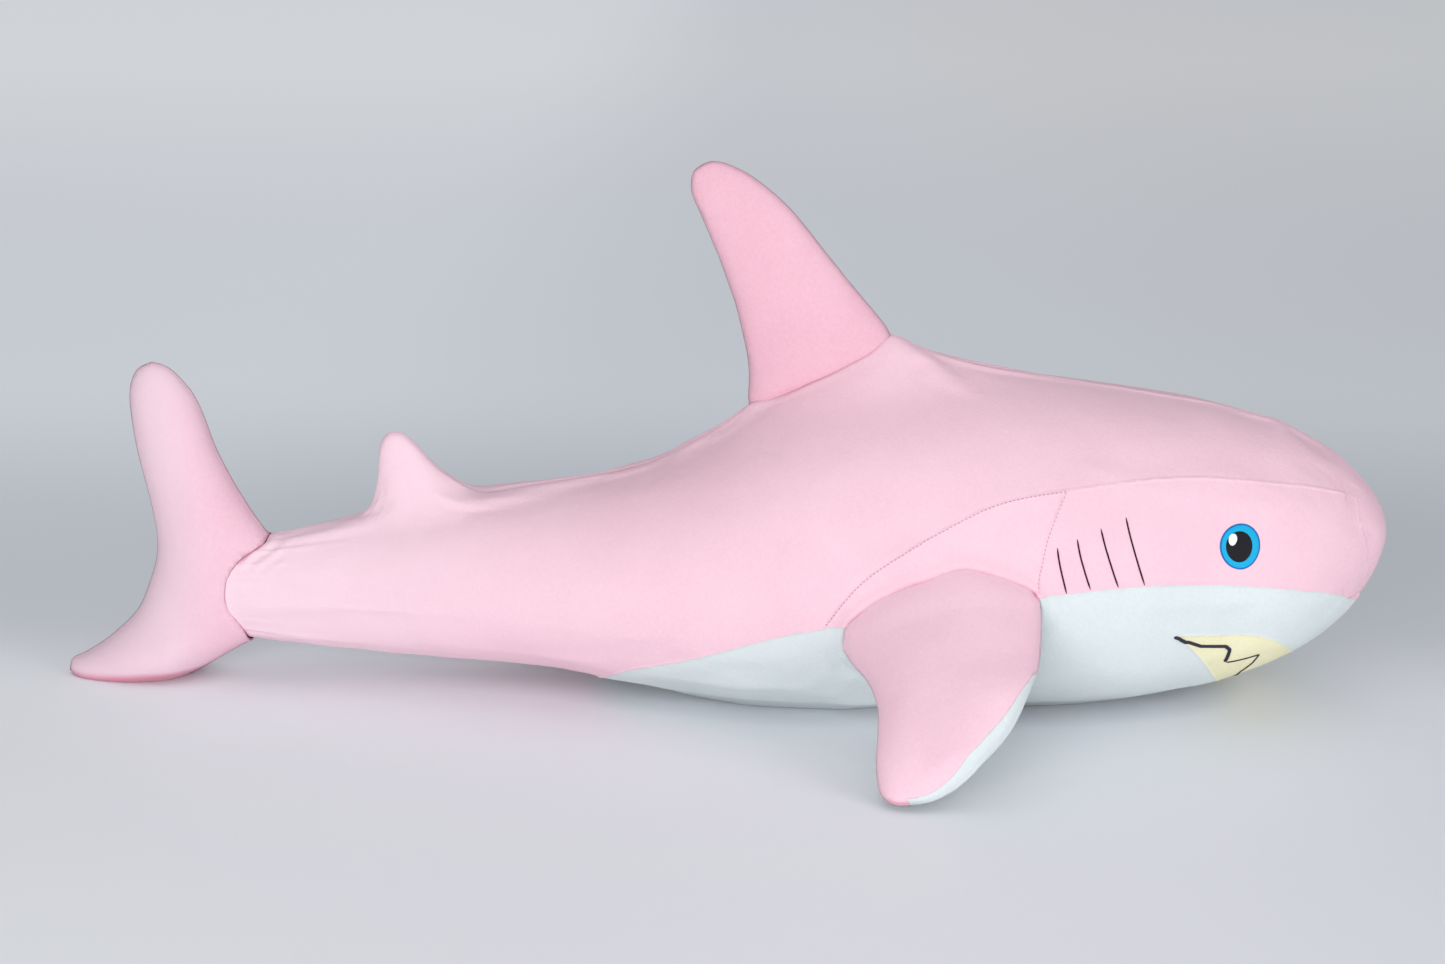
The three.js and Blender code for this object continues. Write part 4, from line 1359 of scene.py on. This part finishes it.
EYE_PLACE, EYE_TILT, HIGHLIGHT_TILT = (766, 147), math.radians(9), -0.15
EYE_EGG = 0.06  # how much wider a disc of the eye is above its middle
# Name, place from the eye's middle, half size, height at the rim, further height at the
# middle, thread, stitches, the CAD node it replaces, slot, and turn.
EYE_DISCS = [
    ("eye_outline", (0, 0), (14.9, 16.2), 0.1, 0.7, DEEP_BLUE_THREAD, 70, None, "blue_thread",
     EYE_TILT),
    ("eye_iris", (0, 0), (13.8, 15.1), 0.35, 0.9, BLUE_THREAD, 64, "eye_iris", "blue_thread",
     EYE_TILT),
    ("eye_pupil", (-1.0, 0), (9.8, 11.0), 0.9, 0.9, BLACK_THREAD, 48, "eye_pupil", "black_thread",
     EYE_TILT),
    ("eye_highlight", (-6.0, 5.4), (3.1, 4.2), 1.5, 0.8, WHITE_THREAD, 20, "eye_highlight",
     "white_thread", HIGHLIGHT_TILT),
]


def eye_disc(name, side_name, centre, half_size, base, crown, material, stitches, tilt):
    """A raised disc of satin stitches that run outward from its middle."""
    rings, spokes = 14, stitches * 2
    points = []
    for i in range(rings + 1):
        r = math.sin(math.pi / 2 * i / rings)
        for j in range(spokes):
            a = 2 * math.pi * j / spokes
            u = half_size[0] * r * math.cos(a) * (1 + EYE_EGG * math.sin(a))
            v = half_size[1] * r * math.sin(a)
            along = centre[0] + u * math.cos(tilt) - v * math.sin(tilt)
            height = centre[1] + u * math.sin(tilt) + v * math.cos(tilt)
            place, normal = on_skin(along, height, side_name)
            rib = 0.10 * (j % 2) * min(1, 3 * r)
            rise = base + crown * math.sqrt(max(0, 1 - r**2)) + rib
            points.append(place + normal * (rise if i < rings else -0.6))
    points = np.array(points)
    points[:spokes] = points[:spokes].mean(0)
    faces = []
    for i in range(rings):
        near, far = i * spokes, (i + 1) * spokes
        for j in range(spokes):
            k = (j + 1) % spokes
            outer = (far + j, far + k)
            faces.append((j, *outer) if i == 0 else (near + j, *outer, near + k))
    if SIDES[side_name] > 0:
        faces = [face[::-1] for face in faces]
    return build(name, points, faces, material)


for side_name in SIDES:
    for label, offset, half_size, base, crown, material, stitches, node, slot, tilt in EYE_DISCS:
        name = f"{label}_{side_name}_thread"
        centre = (EYE_PLACE[0] + offset[0], EYE_PLACE[1] + offset[1])
        piece = eye_disc(
            name, side_name, centre, half_size, base, crown, material, stitches, tilt
        )
        add_embroidery(piece, f"{node}_{side_name}" if node else None)

# The mouth: bold at its corner, then a finer line of teeth to the middle of the chin.
MOUTH_BOLD = [(721, 79), (742, 69), (761, 67.5), (764.5, 64), (763, 51)]
MOUTH_FINE = [(764, 50), (778, 52.5), (789, 55), (786, 46), (779, 36), (777, 24), (790, 20)]
for side_name in SIDES:
    for label, line, width, thickness in (
        ("mouth_corner", MOUTH_BOLD, 2.9, 0.9), ("mouth_teeth", MOUTH_FINE, 1.2, 0.55)
    ):
        route = skin_route(line, side_name, 0.2)
        name = f"{label}_{side_name}"
        piece = stitched_line(f"{name}_thread", route, width, thickness, SLATE_THREAD)
        # One of the four lines stands for the CAD's single node.
        node = "mouth_stitching" if name == "mouth_corner_left" else None
        add_embroidery(piece, node)

# ---------------------------------------------------------------- seam stitches


STITCH_SPACING = 3.1


def seam_stitches(name, side_name, line, length, thickness, lift):
    """Short stitches that lie along a seam."""
    places, normals, reach = skin_route(line, side_name, lift, step=0.8)
    points, faces = [], []
    rings, sides = 5, 6
    half = STITCH_SPACING / 2
    for start in np.arange(half, reach[-1] - half, STITCH_SPACING):
        at = at_reach(start, reach, places)
        ahead = at_reach(start + 0.5, reach, places)
        up = unit(at_reach(start, reach, normals))
        forward = unit(ahead - at)
        across = unit(np.cross(up, forward))
        faces += tube_faces(rings, sides, len(points))
        for i in range(rings):
            t = -1 + 2 * i / (rings - 1)
            r = thickness * math.sqrt(max(0.04, 1 - t * t))
            for j in range(sides):
                a = 2 * math.pi * j / sides
                points.append(
                    at + forward * t * length / 2 + across * r * math.cos(a) + up * r * math.sin(a)
                )
    add_embroidery(build(name, points, faces, PINK_THREAD), None)


DIAGONAL_SEAM = TOP_SEAM[24:]  # from the gill seam back and down to the belly seam
for side_name in SIDES:
    for label, line, length, thickness, lift in (
        ("shoulder_seam_stitches", DIAGONAL_SEAM, 1.7, 0.32, 0.12),
        ("gill_seam_stitches", GILL_SEAM, 1.4, 0.26, 0.05),
    ):
        seam_stitches(f"{label}_{side_name}", side_name, line, length, thickness, lift)

# ---------------------------------------------------------------- floor, light and camera


def floor_material():
    """A pale studio sweep: light in front of the object, a little darker and bluer behind."""
    material, tree, place = new_material("studio_floor")
    across_floor, into_depth = along_axis(tree, place, "X"), along_axis(tree, place, "Y")

    def graded(source, low, high, stops):
        """Colours over the floor, from stops in metres between low and high."""
        shares = [((where - low) / (high - low), colour) for where, colour in stops]
        return ramped(tree, rescaled(tree, source, (low, high)), shares, "EASE")

    depth = graded(
        into_depth, -1.0, 3.0,
        [
            (-1.0, srgb(234, 235, 237)),
            (-0.05, srgb(234, 235, 238)),
            (0.14, srgb(200, 204, 208)),
            (0.5, srgb(190, 195, 202)),
            (3.0, srgb(205, 208, 213)),
        ],
    )
    width = graded(
        across_floor, -1.0, 1.0,
        [(-1.0, srgb(255, 255, 255)), (0.0, srgb(247, 248, 250)), (1.0, srgb(232, 234, 237))],
    )
    # Painted light: the floor glows, dim in front and brighter far behind.
    glow = graded(
        into_depth, -2.0, 6.0,
        [
            (-2.0, (0.05, 0.055, 0.055, 1)),
            (-0.2, (0.075, 0.08, 0.08, 1)),
            (0.14, (0.14, 0.145, 0.15, 1)),
            (1.0, (0.315, 0.325, 0.34, 1)),
            (4.5, (0.44, 0.445, 0.455, 1)),
        ],
    )
    glow_across = graded(
        across_floor, -2.0, 2.0,
        [
            (-2.0, CLEAR),
            (-0.6, CLEAR),
            (0.0, (0.84, 0.84, 0.84, 1)),
            (0.6, (0.86, 0.84, 0.82, 1)),
            (2.0, (0.84, 0.83, 0.81, 1)),
        ],
    )
    # Light doesn't reach the floor right beside what stands on it.
    beside = ramped(tree, openness(tree, 0.03, 12), [(0.3, BLACK), (0.7, CLEAR)])
    lit = mixed(tree, 1.0, mixed(tree, 1.0, glow, glow_across, "MULTIPLY"), beside, "MULTIPLY")
    shade(tree, {
        "Base Color": mixed(tree, 1.0, depth, width, "MULTIPLY"),
        "Emission Color": lit,
        "Emission Strength": 1.0,
        "Roughness": 0.6,
        "Specular IOR Level": 0.25,
    })
    return material


FLOOR_REACH = 9000
floor = build(
    "studio_floor",
    [(FLOOR_REACH * x, FLOOR_REACH * y, 0) for x, y in ((-1, -1), (1, -1), (1, 1), (-1, 1))],
    [(0, 1, 2, 3)],
    floor_material(),
)


def area_light(name, place, target, size, power, colour):
    """A soft rectangular lamp that faces its target."""
    data = bpy.data.lights.new(name, "AREA")
    data.shape = "RECTANGLE"
    data.size, data.size_y = size
    data.energy, data.color = power, colour
    lamp = bpy.data.objects.new(name, data)
    lamp.location = place
    lamp.rotation_euler = (Vector(target) - Vector(place)).to_track_quat("-Z", "Y").to_euler()
    bpy.context.scene.collection.objects.link(lamp)


area_light("key_softbox", (-0.75, -2.6, 0.7), (0.05, 0, 0.12), (1.7, 1.1), 47, (1.0, 0.99, 0.98))
area_light("fill_softbox", (1.9, -1.7, 0.6), (0.2, 0, 0.12), (1.2, 1.0), 23, (1.0, 0.99, 0.99))
area_light("top_softbox", (0.2, 0.2, 2.4), (0, 0, 0), (2.4, 2.4), 15, (0.99, 0.98, 1.0))

world = bpy.data.worlds.new("studio")
world.use_nodes = True
world.node_tree.nodes["Background"].inputs["Color"].default_value = (0.78, 0.82, 0.87, 1)
world.node_tree.nodes["Background"].inputs["Strength"].default_value = 0.35
bpy.context.scene.world = world
bpy.context.scene.view_settings.view_transform = "Standard"

camera_data = bpy.data.cameras.new("camera")
camera_data.lens, camera_data.sensor_width = 62.15, 36
camera_data.clip_start, camera_data.clip_end = 0.05, 60
camera = bpy.data.objects.new("camera", camera_data)
target = Vector((0.0045, 0, 0.161))
azimuth, elevation, distance = math.radians(2), math.radians(16), 1.9
back = Vector(
    (
        math.sin(azimuth) * math.cos(elevation),
        -math.cos(azimuth) * math.cos(elevation),
        math.sin(elevation),
    )
)
camera.location = target + back * distance
camera.rotation_euler = (-back).to_track_quat("-Z", "Y").to_euler()
bpy.context.scene.collection.objects.link(camera)
bpy.context.scene.camera = camera
